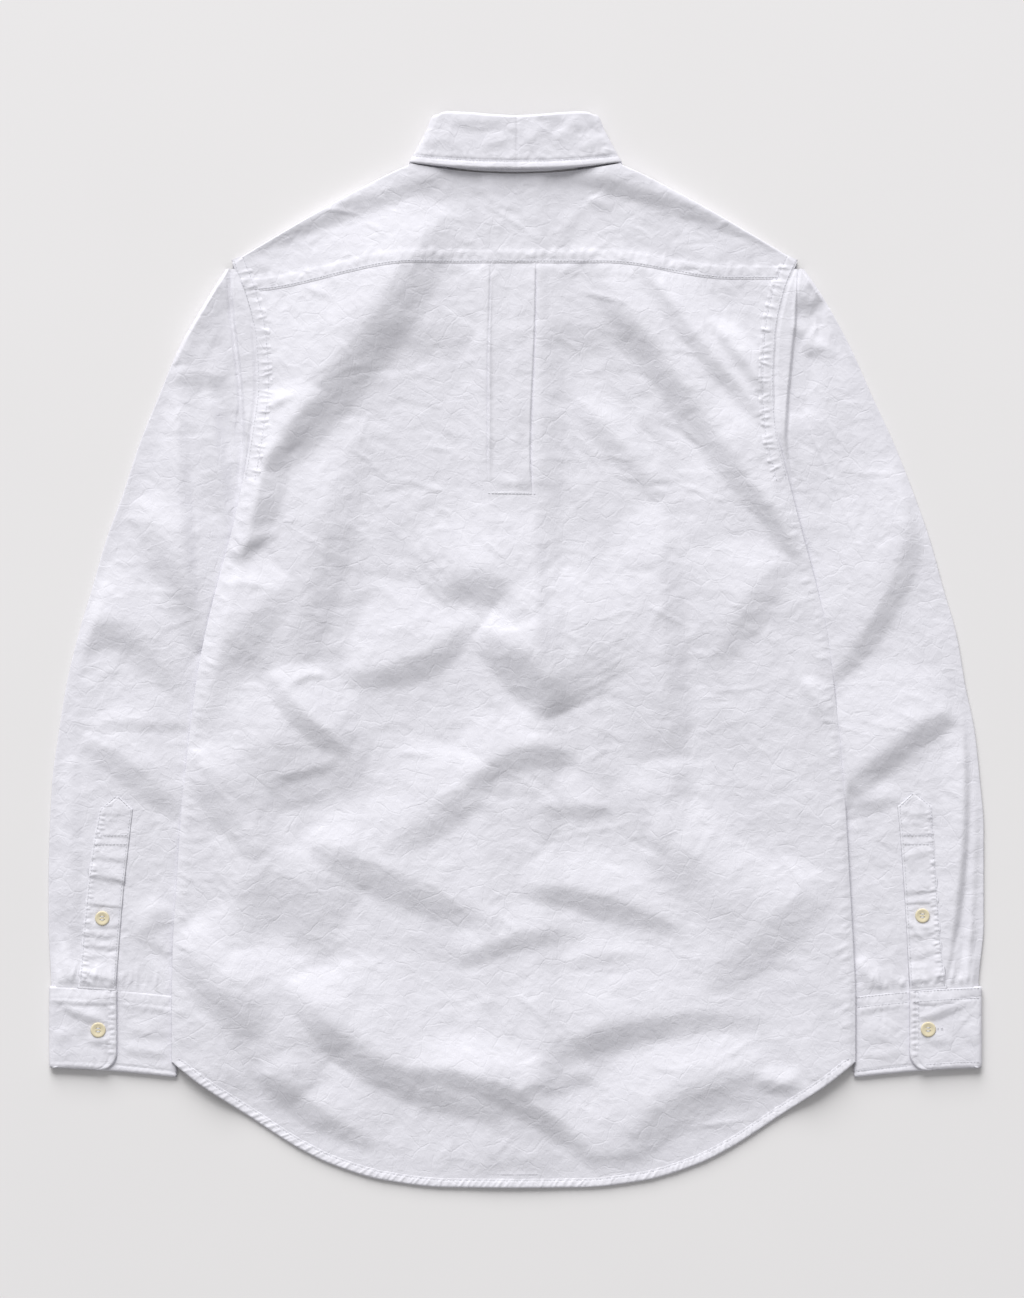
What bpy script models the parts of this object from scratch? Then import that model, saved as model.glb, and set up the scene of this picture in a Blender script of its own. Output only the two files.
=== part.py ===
"""A long-sleeved oxford shirt, laid face down with its back up and its arms straight beside it.

Units in the tables are millimetres. X runs to the right as seen from above, Y towards the collar,
Z up from the surface that the shirt lies on. The origin is on that surface, at the middle of the
shirt's length and width. Every cloth piece is a grid of points on the middle of its wall, which a
Solidify modifier thickens.
"""

import math

import bmesh
import bpy
import numpy as np

MM = 0.001

# Cloth walls and the spaces between layers.
CLOTH_WALL = 1.2
HEM_WALL = 2.2
STIFF_WALL = 2.0
SEAM_GAP = 0.4
LAYER_GAP = 0.8
HALF_WALL = CLOTH_WALL / 2

# Heights of the middle of each layer where nothing else lies below it.
FLOOR_LAYER = HALF_WALL
SLEEVE_TOP_LAYER = 2.8
BACK_OVER_FRONT = CLOTH_WALL + LAYER_GAP

# Shoulder line, neck and yoke.
SHOULDER_POINT_X = 221.0
SHOULDER_POINT_Y = 302.0
NECK_SIDE_X = 82.0
NECK_SIDE_Y = 378.0
SHOULDER_RISE_POWER = 1.12
BACK_NECK_Y = 371.0
BACK_NECK_DIP = 8.0
FRONT_NECK_HALF = 80.0
FRONT_NECK_DROP = 66.0
FRONT_NECK_CENTRE_Y = 372.0
YOKE_SEAM_CENTRE_Y = 303.0
YOKE_SEAM_END_Y = 280.0
YOKE_FORWARD = 22.0

# Armhole and side edges of the body.
UNDERARM_Y = 146.0
SIDE_RETURN = 12.0
ROLL_OUT = 0.7
ROLL_IN = 3.0

# Box pleat.
PLEAT_LEFT = -18.5
PLEAT_RIGHT = 15.0
PLEAT_END_Y = 121.0
PLEAT_RAISE = 1.6
PLEAT_EDGE = 2.5
PLEAT_FADE = 14.0

# Grid of the body.
BODY_ROWS = 38
WING_CELLS = 10

# Tail hem.
HEM_CORNER_Y = -321.0
HEM_TAIL_Y = -419.5
HEM_BAND = 8.0
FRONT_HEM_SHORTER = 10.5

# Front placket and its buttons, on the underside.
PLACKET_LEFT = -19.0
PLACKET_RIGHT = 16.0
PLACKET_LIFT = 2.7
PLACKET_RAMP = 26.0
UNDERLAP_LEFT = -14.0
UNDERLAP_RISE = CLOTH_WALL + SEAM_GAP
FRONT_BUTTON_X = -1.5
FRONT_BUTTON_TOP_Y = 262.0
FRONT_BUTTON_STEP = 92.0
FRONT_BUTTONS_ON_PLACKET = 6
COLLAR_BUTTON_Y = 321.0

# Collar.
COLLAR_LIFT = 3.0
COLLAR_LIFT_X = 92.0
COLLAR_LIFT_Y = 258.0
COLLAR_LIFT_RAMP = 34.0
FOLD_START = 2.6
FOLD_OVER = 4.3
FALL_ROOM = 2.4
SIDE_ROOM = 1.8

# Cuffs.
CUFF_TOP_Y = -262.0
CUFF_HEIGHT = 62.5
CUFF_SLANT = 7.5
CUFF_OUTER = 362.5
CUFF_INNER = 264.5
CUFF_OVERLAP_END = 310.0
CUFF_UNDERLAP_END = 333.0
CUFF_CORNER = 15.0
CUFF_UNDER_Z = 3.4
CUFF_OVER_Z = 5.8

# Buttons.
CUFF_BUTTON_D = 11.9
PLACKET_BUTTON_D = 11.3
FRONT_BUTTON_D = 11.3
BUTTON_THICK = 2.2
BUTTON_SEAT = 0.4

# How folds run out: where the light comes from in plan, which sets a fold's lit side, how far its
# crest lies from its shaded flank, how much lower its ends are, and where folds fade at edges.
LIGHT_X = -0.35
LIGHT_Y = 1.0
CREST_SHARE = 0.6
END_TAPER = 0.7
SIDE_FADE = (2.0, 26.0)
HEM_FADE = (4.0, 44.0)
FOLD_AT_HEM = 0.35

# How full the sleeves are, and where their folds and fullness fade at their edges.
SLEEVE_PUFF = 1.7
PUFF_START = 6.0
INNER_FADE = (5.0, 24.0)
OUTER_FADE = (2.0, 18.0)
UNDERARM_RAMP = 26.0

# The tail: share of the half width from the centre, y.
HEM = (
    (0.0, -419.5),
    (0.2, -419.0),
    (0.38, -413.5),
    (0.53, -401.5),
    (0.63, -388.5),
    (0.705, -376.0),
    (0.775, -363.5),
    (0.85, -350.5),
    (0.92, -338.0),
    (1.0, -321.0),
)

# The body's side edges, as distances from the centre line: y, left, right.
BODY_EDGES = (
    (310.0, 224.0, 223.0),
    (278.0, 212.0, 210.0),
    (244.0, 204.0, 203.5),
    (208.0, 202.0, 202.0),
    (172.0, 206.0, 204.0),
    (143.0, 210.5, 210.5),
    (97.0, 220.0, 222.0),
    (49.0, 233.0, 235.0),
    (12.0, 242.0, 243.5),
    (-29.0, 249.5, 248.5),
    (-78.0, 255.5, 254.0),
    (-125.0, 260.5, 257.5),
    (-179.0, 264.0, 260.5),
    (-226.0, 267.0, 263.0),
    (-273.0, 268.0, 265.0),
    (-321.0, 268.0, 265.0),
    (-430.0, 268.0, 265.0),
)

# Outer edge of each sleeve, as distances from the centre line: y, left, right.
SLEEVE_OUTER = (
    (302.0, 222.5, 221.5),
    (273.0, 241.0, 241.0),
    (236.0, 262.0, 261.0),
    (198.0, 278.0, 278.0),
    (161.0, 293.0, 295.0),
    (123.0, 305.5, 310.0),
    (86.0, 319.0, 323.0),
    (48.0, 330.0, 333.5),
    (11.0, 341.0, 344.0),
    (-27.0, 350.0, 350.5),
    (-64.0, 356.0, 358.0),
    (-101.0, 361.0, 362.0),
    (-139.0, 363.0, 365.0),
    (-176.0, 364.0, 365.0),
    (-214.0, 364.0, 365.0),
    (-262.0, 362.0, 361.0),
    (-340.0, 362.0, 361.0),
)

# The sleeve's inner edge under the body, and the body's rise over it:
# y, inner edge, distance from which the body is lifted, lift.
TUCK = (
    (240.0, 204.0, 200.0, 0.0),
    (205.0, 202.0, 190.0, 0.0),
    (160.0, 208.0, 178.0, 4.2),
    (146.0, 210.0, 172.0, 4.2),
    (130.0, 205.0, 164.0, 4.2),
    (108.0, 188.0, 156.0, 4.2),
    (86.0, 174.0, 152.0, 4.2),
    (23.0, 186.0, 162.0, 4.2),
    (-55.0, 208.0, 184.0, 4.2),
    (-133.0, 230.0, 206.0, 4.2),
    (-211.0, 250.0, 226.0, 4.5),
    (-262.0, 262.0, 238.0, 5.4),
    (-335.0, 264.0, 240.0, 5.4),
    (-430.0, 264.0, 240.0, 4.0),
)

# Largest folds of the back, each along its shaded flank: start, middle and end in plan, height,
# width of the shaded flank and of the lit one.
BACK_FOLDS = (
    (-62.0, 322.0, -120.0, 230.0, -172.0, 168.0, 8.0, 20.0, 30.0),
    (-168.0, 172.0, -196.0, 130.0, -208.0, 84.0, 5.0, 15.0, 22.0),
    (62.0, 280.0, 142.0, 174.0, 214.0, 74.0, 5.0, 14.0, 24.0),
    (97.0, 285.0, 136.0, 236.0, 183.0, 184.0, 3.5, 14.0, 18.0),
    (-129.0, -19.0, -67.0, -15.0, -33.0, 18.0, 6.5, 14.0, 26.0),
    (-30.0, 2.0, 4.0, -38.0, 32.0, -84.0, 5.5, 14.0, 22.0),
    (34.0, -86.0, -35.0, -95.0, -100.0, -152.0, 8.0, 15.0, 32.0),
    (-148.0, -162.0, -90.0, -196.0, -26.0, -220.0, 6.0, 15.0, 24.0),
    (17.0, -189.0, 66.0, -200.0, 123.0, -219.0, 5.5, 14.0, 22.0),
    (-172.0, -278.0, -98.0, -340.0, -20.0, -360.0, 8.5, 17.0, 32.0),
    (17.0, -345.0, 82.0, -302.0, 185.0, -289.0, 8.5, 16.0, 30.0),
    (105.0, -382.0, 138.0, -350.0, 216.0, -343.0, 6.0, 14.0, 20.0),
    (-262.0, -240.0, -214.0, -312.0, -137.0, -382.0, 5.0, 14.0, 22.0),
    (-190.0, 40.0, -216.0, 4.0, -244.0, -38.0, 4.5, 15.0, 20.0),
    (-168.0, -22.0, -148.0, -66.0, -137.0, -98.0, 4.5, 14.0, 20.0),
    (-252.0, -92.0, -234.0, -122.0, -212.0, -150.0, 4.0, 14.0, 20.0),
    (190.0, -228.0, 220.0, -204.0, 246.0, -172.0, 4.5, 14.0, 22.0),
    (206.0, 60.0, 176.0, 32.0, 144.0, -8.0, 4.0, 15.0, 22.0),
    (124.0, 118.0, 121.0, -12.0, 124.0, -140.0, 2.5, 18.0, 30.0),
    (17.0, 118.0, 18.0, 70.0, 22.0, -20.0, 2.5, 14.0, 24.0),
)

# Largest folds of the sleeves, in the same columns.
LEFT_SLEEVE_FOLDS = (
    (-228.0, 286.0, -240.0, 262.0, -256.0, 236.0, 4.0, 12.0, 14.0),
    (-318.0, 10.0, -298.0, -8.0, -277.0, -22.0, 3.0, 14.0, 20.0),
    (-334.0, -56.0, -300.0, -62.0, -262.0, -58.0, 4.0, 14.0, 20.0),
    (-326.0, -78.0, -296.0, -104.0, -272.0, -130.0, 5.0, 15.0, 22.0),
)
RIGHT_SLEEVE_FOLDS = (
    (224.0, 280.0, 222.0, 240.0, 216.0, 196.0, 4.0, 12.0, 14.0),
    (300.0, 124.0, 290.0, 60.0, 256.0, -14.0, 5.0, 15.0, 22.0),
    (316.0, -60.0, 288.0, -86.0, 264.0, -114.0, 7.0, 14.0, 24.0),
    (352.0, 8.0, 354.0, -120.0, 350.0, -240.0, 2.0, 12.0, 14.0),
)

# Half of the collar, from the centre back round to the centre front. Columns: the neck seam, the
# fold at the top of the stand, and the leaf's free edge, each as x, y, z, then the way out of the
# neck at the fold, in degrees from straight up.
COLLAR = (
    (0.0, 372.0, 7.2, 0.0, 412.2, 8.0, 0.0, 377.5, 12.6, 0.0),
    (20.0, 372.6, 7.2, 19.0, 413.2, 8.0, 22.0, 377.3, 12.6, 0.0),
    (40.0, 374.4, 7.1, 36.0, 414.8, 7.8, 44.0, 377.2, 12.0, 0.0),
    (60.0, 377.5, 6.9, 50.0, 414.6, 7.2, 64.0, 377.6, 10.4, 6.0),
    (71.0, 381.5, 6.4, 56.0, 411.5, 6.4, 76.5, 378.4, 8.9, 30.0),
    (75.0, 383.0, 5.2, 58.5, 408.5, 5.4, 82.6, 380.8, 5.6, 85.0),
    (76.0, 380.5, 3.7, 59.0, 405.0, 4.4, 85.0, 380.4, 2.8, 130.0),
    (76.0, 368.0, 3.6, 57.0, 394.0, 3.6, 88.0, 366.0, 1.2, 170.0),
    (72.5, 350.0, 3.6, 52.0, 373.0, 3.5, 87.0, 338.0, 1.2, 180.0),
    (60.0, 332.0, 3.6, 42.0, 356.0, 3.5, 79.0, 300.0, 1.2, 180.0),
    (45.0, 320.0, 3.6, 31.0, 346.0, 3.5, 66.0, 268.0, 1.2, 180.0),
    (28.0, 312.5, 3.6, 19.0, 340.0, 3.5, 40.0, 290.0, 1.2, 180.0),
    (0.4, 307.6, 3.6, 0.4, 336.6, 3.5, 14.0, 311.0, 1.2, 180.0),
)

# Sleeve placket, on the sleeve's upper layer: left edge and right edge in plan from the cuff up,
# then the pointed tip. Columns: y, left x, right x.
LEFT_SLEEVE_PLACKET = (
    (-260.5, -341.0, -311.5),
    (-225.0, -338.5, -308.5),
    (-185.0, -334.5, -305.0),
    (-150.0, -330.0, -301.0),
    (-124.0, -325.0, -298.0),
    (-114.0, -311.5, -309.5),
)
RIGHT_SLEEVE_PLACKET = (
    (-260.5, 306.5, 334.5),
    (-225.0, 305.0, 331.0),
    (-185.0, 303.5, 329.0),
    (-150.0, 300.5, 327.0),
    (-124.0, 297.5, 325.5),
    (-113.0, 309.5, 311.5),
)
PLACKET_FADE_Y = (-110.0, -82.0)
PLACKET_SEAT = 0.6

# Colours, as linear red, green and blue.
CLOTH_COLOUR = (0.83, 0.84, 0.87, 1.0)
BUTTON_COLOUR = (0.86, 0.78, 0.58, 1.0)


def clear_objects():
    """Remove what the new scene starts with."""
    for thing in list(bpy.data.objects):
        bpy.data.objects.remove(thing, do_unlink=True)


def make_collection(name):
    """A collection for the whole shirt, linked to the scene."""
    collection = bpy.data.collections.new(name)
    bpy.context.scene.collection.children.link(collection)
    return collection


def make_material(name, colour, roughness):
    """A plain Principled material with one colour and roughness."""
    material = bpy.data.materials.new(name)
    material.use_nodes = True
    shader = material.node_tree.nodes["Principled BSDF"]
    shader.inputs["Base Color"].default_value = colour
    shader.inputs["Roughness"].default_value = roughness
    shader.inputs["Metallic"].default_value = 0.0
    return material


def smooth_step(low, high, value):
    """0 below low, 1 above high, with a soft S between. low may be the greater one."""
    share = np.clip((np.asarray(value, float) - low) / (high - low), 0.0, 1.0)
    return share * share * (3.0 - 2.0 * share)


def curve_through(table, column):
    """A smooth function of the table's first column that passes through one other column.

    It never overshoots: its slope at a row is 0 where the values turn back.
    """
    rows = sorted(table, key=lambda row: row[0])
    keys = np.array([row[0] for row in rows])
    values = np.array([row[column] for row in rows])
    runs = np.diff(values) / np.diff(keys)
    product = runs[:-1] * runs[1:]
    total = np.where(product > 0.0, runs[:-1] + runs[1:], 1.0)
    inner = np.where(product > 0.0, 2.0 * product / total, 0.0)
    slopes = np.concatenate((runs[:1], inner, runs[-1:]))

    def read(at):
        at = np.clip(np.asarray(at, float), keys[0], keys[-1])
        index = np.clip(np.searchsorted(keys, at) - 1, 0, len(keys) - 2)
        step = keys[index + 1] - keys[index]
        part = (at - keys[index]) / step
        rise = values[index + 1] - values[index]
        start = step * slopes[index] - rise
        end = rise - step * slopes[index + 1]
        bend = part * (1.0 - part) * (start * (1.0 - part) + end * part)
        return values[index] + rise * part + bend

    return read


LEFT, RIGHT = 1, 2
EDGE = {LEFT: curve_through(BODY_EDGES, LEFT), RIGHT: curve_through(BODY_EDGES, RIGHT)}
OUTER = {LEFT: curve_through(SLEEVE_OUTER, LEFT), RIGHT: curve_through(SLEEVE_OUTER, RIGHT)}
HEM_CURVE = curve_through(HEM, 1)
INNER = curve_through(TUCK, 1)
LIFT_FROM = curve_through(TUCK, 2)
LIFT = curve_through(TUCK, 3)
SIGN = {LEFT: -1.0, RIGHT: 1.0}
LIFT_RAMP = 46.0


def edge_distance(x, y):
    """Distance in X from a point inside the body to the nearer side edge."""
    x = np.asarray(x, float)
    return np.where(x < 0.0, EDGE[LEFT](y) + x, EDGE[RIGHT](y) - x)


def shoulder_y(x):
    """Height in plan of the shoulder fold line, from the neck side to the shoulder point."""
    share = np.clip((np.abs(x) - NECK_SIDE_X) / (SHOULDER_POINT_X - NECK_SIDE_X), 0.0, 1.0)
    return NECK_SIDE_Y - (NECK_SIDE_Y - SHOULDER_POINT_Y) * share ** SHOULDER_RISE_POWER


def back_neck_y(x):
    """The yoke's neck edge, which dips at the centre back."""
    return BACK_NECK_Y + BACK_NECK_DIP * (np.abs(x) / NECK_SIDE_X) ** 2


def front_neck_y(x):
    """The fronts' neck edge, a half ellipse."""
    share = np.clip(np.abs(x) / FRONT_NECK_HALF, 0.0, 1.0)
    return FRONT_NECK_CENTRE_Y - FRONT_NECK_DROP * np.sqrt(1.0 - share ** 2)


def yoke_seam_y(x):
    """The seam between yoke and back, level in the middle and dropping to the armholes."""
    share = smooth_step(78.0, 212.0, np.abs(x))
    return YOKE_SEAM_CENTRE_Y - (YOKE_SEAM_CENTRE_Y - YOKE_SEAM_END_Y) * share


def hem_y(x):
    """The curved tail: steep at the side corners and level at the centre."""
    left, right = EDGE[LEFT](HEM_CORNER_Y), EDGE[RIGHT](HEM_CORNER_Y)
    return HEM_CURVE(np.where(np.asarray(x) < 0.0, -np.asarray(x) / left, np.asarray(x) / right))


def tuck_lift(x, y):
    """Rise of the body's layers over the sleeves that lie under its sides."""
    start = LIFT_FROM(y)
    return LIFT(y) * smooth_step(start - LIFT_RAMP, start, np.abs(x))


def placket_lift(x, y, height):
    """Rise along the centre front, where the placket lies on its buttons."""
    outside = np.maximum(PLACKET_LEFT - x, x - PLACKET_RIGHT)
    return height * smooth_step(PLACKET_RAMP, 0.0, outside) * np.ones_like(y)


def collar_lift(x, y):
    """Rise around the neck, where the collar's front lies underneath."""
    across = smooth_step(COLLAR_LIFT_X + COLLAR_LIFT_RAMP, COLLAR_LIFT_X, np.abs(x))
    return COLLAR_LIFT * across * smooth_step(COLLAR_LIFT_Y - COLLAR_LIFT_RAMP, COLLAR_LIFT_Y, y)


def front_height(x, y):
    """Middle of the fronts' wall: flat on the floor, and lifted over what lies below."""
    lift = np.maximum(placket_lift(x, y, PLACKET_LIFT), collar_lift(x, y))
    return FLOOR_LAYER + np.maximum(lift, tuck_lift(x, y))


def fold_height(folds, x, y):
    """Sum of the folds. Each crest lies on the lit side of its shaded flank."""
    x, y = np.broadcast_arrays(np.asarray(x, float), np.asarray(y, float))
    total = np.zeros(x.shape)
    share = np.linspace(0.0, 1.0, 25)
    for x0, y0, x1, y1, x2, y2, height, shade, lit in folds:
        first, middle, last = (1 - share) * (1 - 2 * share), 4 * share * (1 - share), share * (2 * share - 1)
        path_x = first * x0 + middle * x1 + last * x2
        path_y = first * y0 + middle * y1 + last * y2
        run_x, run_y = np.gradient(path_x), np.gradient(path_y)
        length = np.hypot(run_x, run_y)
        side_x, side_y = -run_y / length, run_x / length
        turn = 1.0 if (LIGHT_X * side_x + LIGHT_Y * side_y).sum() > 0.0 else -1.0
        away_x = x[..., None] - path_x
        away_y = y[..., None] - path_y
        nearest = np.argmin(away_x ** 2 + away_y ** 2, axis=-1)
        take = nearest[..., None]
        off_x = np.take_along_axis(away_x, take, -1)[..., 0]
        off_y = np.take_along_axis(away_y, take, -1)[..., 0]
        across = turn * (off_x * side_x[nearest] + off_y * side_y[nearest])
        beyond = np.sqrt(np.maximum(off_x ** 2 + off_y ** 2 - across ** 2, 0.0))
        crest = CREST_SHARE * shade
        width = np.where(across < crest, shade, lit)
        taper = 1.0 - np.abs(2.0 * share[nearest] - 1.0) ** 4 * END_TAPER
        total = total + height * taper * np.exp(-((across - crest) / width) ** 2 - (beyond / shade) ** 2)
    return total


def pleat_height(x, y):
    """The box pleat: a flat raised band between two pressed edges, down to its tuck stitch."""
    left = smooth_step(PLEAT_LEFT - PLEAT_EDGE, PLEAT_LEFT, x)
    right = smooth_step(PLEAT_RIGHT + PLEAT_EDGE, PLEAT_RIGHT, x)
    return PLEAT_RAISE * left * right * smooth_step(PLEAT_END_Y - PLEAT_FADE, PLEAT_END_Y, y)


def back_height(x, y):
    """Middle of the wall of the back and of the yoke's upper side."""
    over_underlap = FLOOR_LAYER + placket_lift(x, y, PLACKET_LIFT + UNDERLAP_RISE)
    under = np.maximum(front_height(x, y), over_underlap)
    inside = smooth_step(*SIDE_FADE, edge_distance(x, y))
    above_hem = FOLD_AT_HEM + (1.0 - FOLD_AT_HEM) * smooth_step(*HEM_FADE, y - hem_y(x))
    folds = fold_height(BACK_FOLDS, x, y) * inside * above_hem
    return under + BACK_OVER_FRONT + folds + pleat_height(x, y)


def sleeve_height(x, y, side):
    """Middle of the wall of a sleeve's upper layer, away from its rolled edges."""
    far = SIGN[side] * x
    outer, edge = OUTER[side](y), EDGE[side](y)
    free = np.clip((far - edge - PUFF_START) / np.maximum(outer - edge - PUFF_START, 1.0), 0.0, 1.0)
    puff = SLEEVE_PUFF * np.sin(math.pi * free) ** 0.8 * smooth_step(SHOULDER_POINT_Y, 240.0, y)
    clear = smooth_step(*INNER_FADE, far - edge) * smooth_step(*OUTER_FADE, outer - far)
    above_placket = smooth_step(*PLACKET_FADE_Y, y)
    table = LEFT_SLEEVE_FOLDS if side == LEFT else RIGHT_SLEEVE_FOLDS
    folds = fold_height(table, x, y) * clear * above_placket
    near = smooth_step(UNDERARM_RAMP, 0.0, far - edge) * smooth_step(UNDERARM_Y, UNDERARM_Y + 12.0, y)
    return SLEEVE_TOP_LAYER + puff + folds + near * tuck_lift(SIGN[side] * edge, y)


def cuff_drop(share):
    """How far the cuff slants down from its outer edge, share 0, to its inner edge, share 1."""
    return CUFF_SLANT * share ** 1.5


def add_sheet(collection, name, grid, wall, material, keep=None, thick_rows=0):
    """One cloth piece: a grid of points in millimetres on the middle of its wall, then Solidify.

    keep says which cells of the grid are cloth. thick_rows is how many of the last rows of points
    carry the full wall, where the rest is CLOTH_WALL.
    """
    rows, columns = grid.shape[:2]
    mesh = bpy.data.meshes.new(name)
    sheet = bpy.data.objects.new(name, mesh)
    collection.objects.link(sheet)
    shape = bmesh.new()
    layer = shape.verts.layers.deform.verify()
    points = [[shape.verts.new(tuple(grid[r, c] * MM)) for c in range(columns)] for r in range(rows)]
    for r in range(rows):
        for c in range(columns):
            points[r][c][layer][0] = 1.0 if r >= rows - thick_rows else 0.0
    for r in range(rows - 1):
        for c in range(columns - 1):
            if keep is None or keep(r, c):
                corners = (points[r][c], points[r][c + 1], points[r + 1][c + 1], points[r + 1][c])
                shape.faces.new(corners)
    loose = [point for point in shape.verts if not point.link_faces]
    bmesh.ops.delete(shape, geom=loose, context="VERTS")
    bmesh.ops.remove_doubles(shape, verts=shape.verts, dist=1e-6)
    bmesh.ops.triangulate(shape, faces=shape.faces, quad_method="SHORT_EDGE")
    shape.to_mesh(mesh)
    shape.free()
    group = sheet.vertex_groups.new(name="full_wall")
    solid = sheet.modifiers.new("wall", "SOLIDIFY")
    solid.thickness = wall * MM
    solid.offset = 0.0
    if thick_rows:
        solid.vertex_group = group.name
        solid.thickness_vertex_group = CLOTH_WALL / wall
    mesh.materials.append(material)
    mesh.shade_smooth()
    return sheet


def body_levels():
    """Y of the body's rows at its side edges, and each row's share of the way to the hem."""
    band = HEM_BAND / (YOKE_SEAM_CENTRE_Y - HEM_TAIL_Y)
    above_band = np.linspace(0.0, 1.0 - 1.15 * band, BODY_ROWS - 2)
    share = np.append(above_band, [1.0 - band, 1.0])
    top = YOKE_SEAM_END_Y - SEAM_GAP
    return top + share * (HEM_CORNER_Y - top), share


def at_height(x, y_side, y_line):
    """X moved in proportion from a row's own width to the body's width at another height."""
    left = EDGE[LEFT](y_line) / EDGE[LEFT](y_side)
    right = EDGE[RIGHT](y_line) / EDGE[RIGHT](y_side)
    return np.where(x < 0.0, x * left, x * right)


def body_columns(y_side, wing_cells):
    """X of the body's grid columns on one row, from the left edge to the right edge."""
    left, right = -EDGE[LEFT](y_side), EDGE[RIGHT](y_side)
    near_left, near_right = left + ROLL_IN, right - ROLL_IN
    wing_left = np.linspace(near_left, PLEAT_LEFT - PLEAT_EDGE, wing_cells + 1)
    wing_right = np.linspace(PLEAT_RIGHT + PLEAT_EDGE, near_right, wing_cells + 1)
    centre = (PLEAT_LEFT + PLEAT_RIGHT) / 2.0
    middle = (PLEAT_LEFT, centre, PLEAT_RIGHT)
    return np.concatenate(([left, left + ROLL_OUT], wing_left, middle, wing_right, [right - ROLL_OUT, right]))


def side_return(x_edge, inward, y, top):
    """Points that carry the back round a side edge, from the seam underneath out to the edge."""
    under = top - BACK_OVER_FRONT
    turn = under + 0.15 * BACK_OVER_FRONT
    steps = ((SIDE_RETURN, under), (ROLL_IN, under), (ROLL_OUT, turn))
    return [(x_edge + inward * step, y, height) for step, height in steps]


def add_back(collection, material):
    """The back panel, from the yoke seam to the tail, with its sides rolled under."""
    levels, shares = body_levels()
    rows = []
    for y_side, share in zip(levels, shares):
        x = body_columns(y_side, WING_CELLS)
        seam = yoke_seam_y(at_height(x, y_side, YOKE_SEAM_END_Y)) - SEAM_GAP
        y = seam * (1 - share) + hem_y(at_height(x, y_side, HEM_CORNER_Y)) * share
        z = back_height(x, y)
        left_side = side_return(x[0], 1.0, y[0], z[0])
        right_side = side_return(x[-1], -1.0, y[-1], z[-1])
        if y_side < UNDERARM_Y:
            z[[0, -1]] -= 0.5 * BACK_OVER_FRONT
            z[[1, -2]] -= 0.15 * BACK_OVER_FRONT
        rows.append(left_side + list(zip(x, y, z)) + right_side[::-1])
    grid = np.array(rows)
    columns = grid.shape[1]
    side_cells = len(left_side)

    def keep(r, c):
        at_side = c < side_cells or c >= columns - 1 - side_cells
        return not at_side or levels[r] < UNDERARM_Y

    return add_sheet(collection, "back", grid, HEM_WALL, material, keep, thick_rows=2)


def yoke_columns():
    """X of the yoke's grid columns at the shoulder line, with one at each side of the neck."""
    neck = np.linspace(0.0, NECK_SIDE_X, 6)
    shoulder = np.linspace(NECK_SIDE_X, SHOULDER_POINT_X, 9)
    right = np.concatenate((neck, shoulder[1:]))
    return np.concatenate((-right[::-1], right[1:]))


def between_armholes(spread, y_side):
    """The yoke's columns, drawn in to the armholes at one height."""
    scale = np.where(spread < 0.0, EDGE[LEFT](y_side), EDGE[RIGHT](y_side)) / SHOULDER_POINT_X
    ease = (np.abs(spread) / SHOULDER_POINT_X) ** 2
    return spread * (1.0 + (scale - 1.0) * ease)


def add_yoke(collection, material):
    """The yoke, from its seam over the shoulder line to its front seam underneath."""
    spread = yoke_columns()
    main_rows = 5
    top_line = np.where(np.abs(spread) <= NECK_SIDE_X, back_neck_y(spread), shoulder_y(spread) - ROLL_IN)
    rows = []
    for share in np.linspace(0.0, 1.0, main_rows + 1):
        y_side = (YOKE_SEAM_END_Y + SEAM_GAP) * (1 - share) + top_line[0] * share
        x = between_armholes(spread, y_side)
        y = (yoke_seam_y(x) + SEAM_GAP) * (1 - share) + top_line * share
        rows.append(list(zip(x, y, back_height(x, y))))
    edge = shoulder_y(spread)
    upper = back_height(spread, edge - ROLL_IN)
    around = ((ROLL_OUT, 0.15), (0.0, 0.5), (ROLL_OUT, 0.85), (ROLL_IN, 1.0), (YOKE_FORWARD, 1.0))
    for inset, share in around:
        x = between_armholes(spread, edge[0] - inset)
        y = shoulder_y(x) - inset
        z = front_height(x, y) if inset == YOKE_FORWARD else upper - BACK_OVER_FRONT * share
        rows.append(list(zip(x, y, z)))

    def keep(r, c):
        return r < main_rows or min(abs(spread[c]), abs(spread[c + 1])) >= NECK_SIDE_X - 0.01

    return add_sheet(collection, "yoke", np.array(rows), CLOTH_WALL, material, keep)


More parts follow.
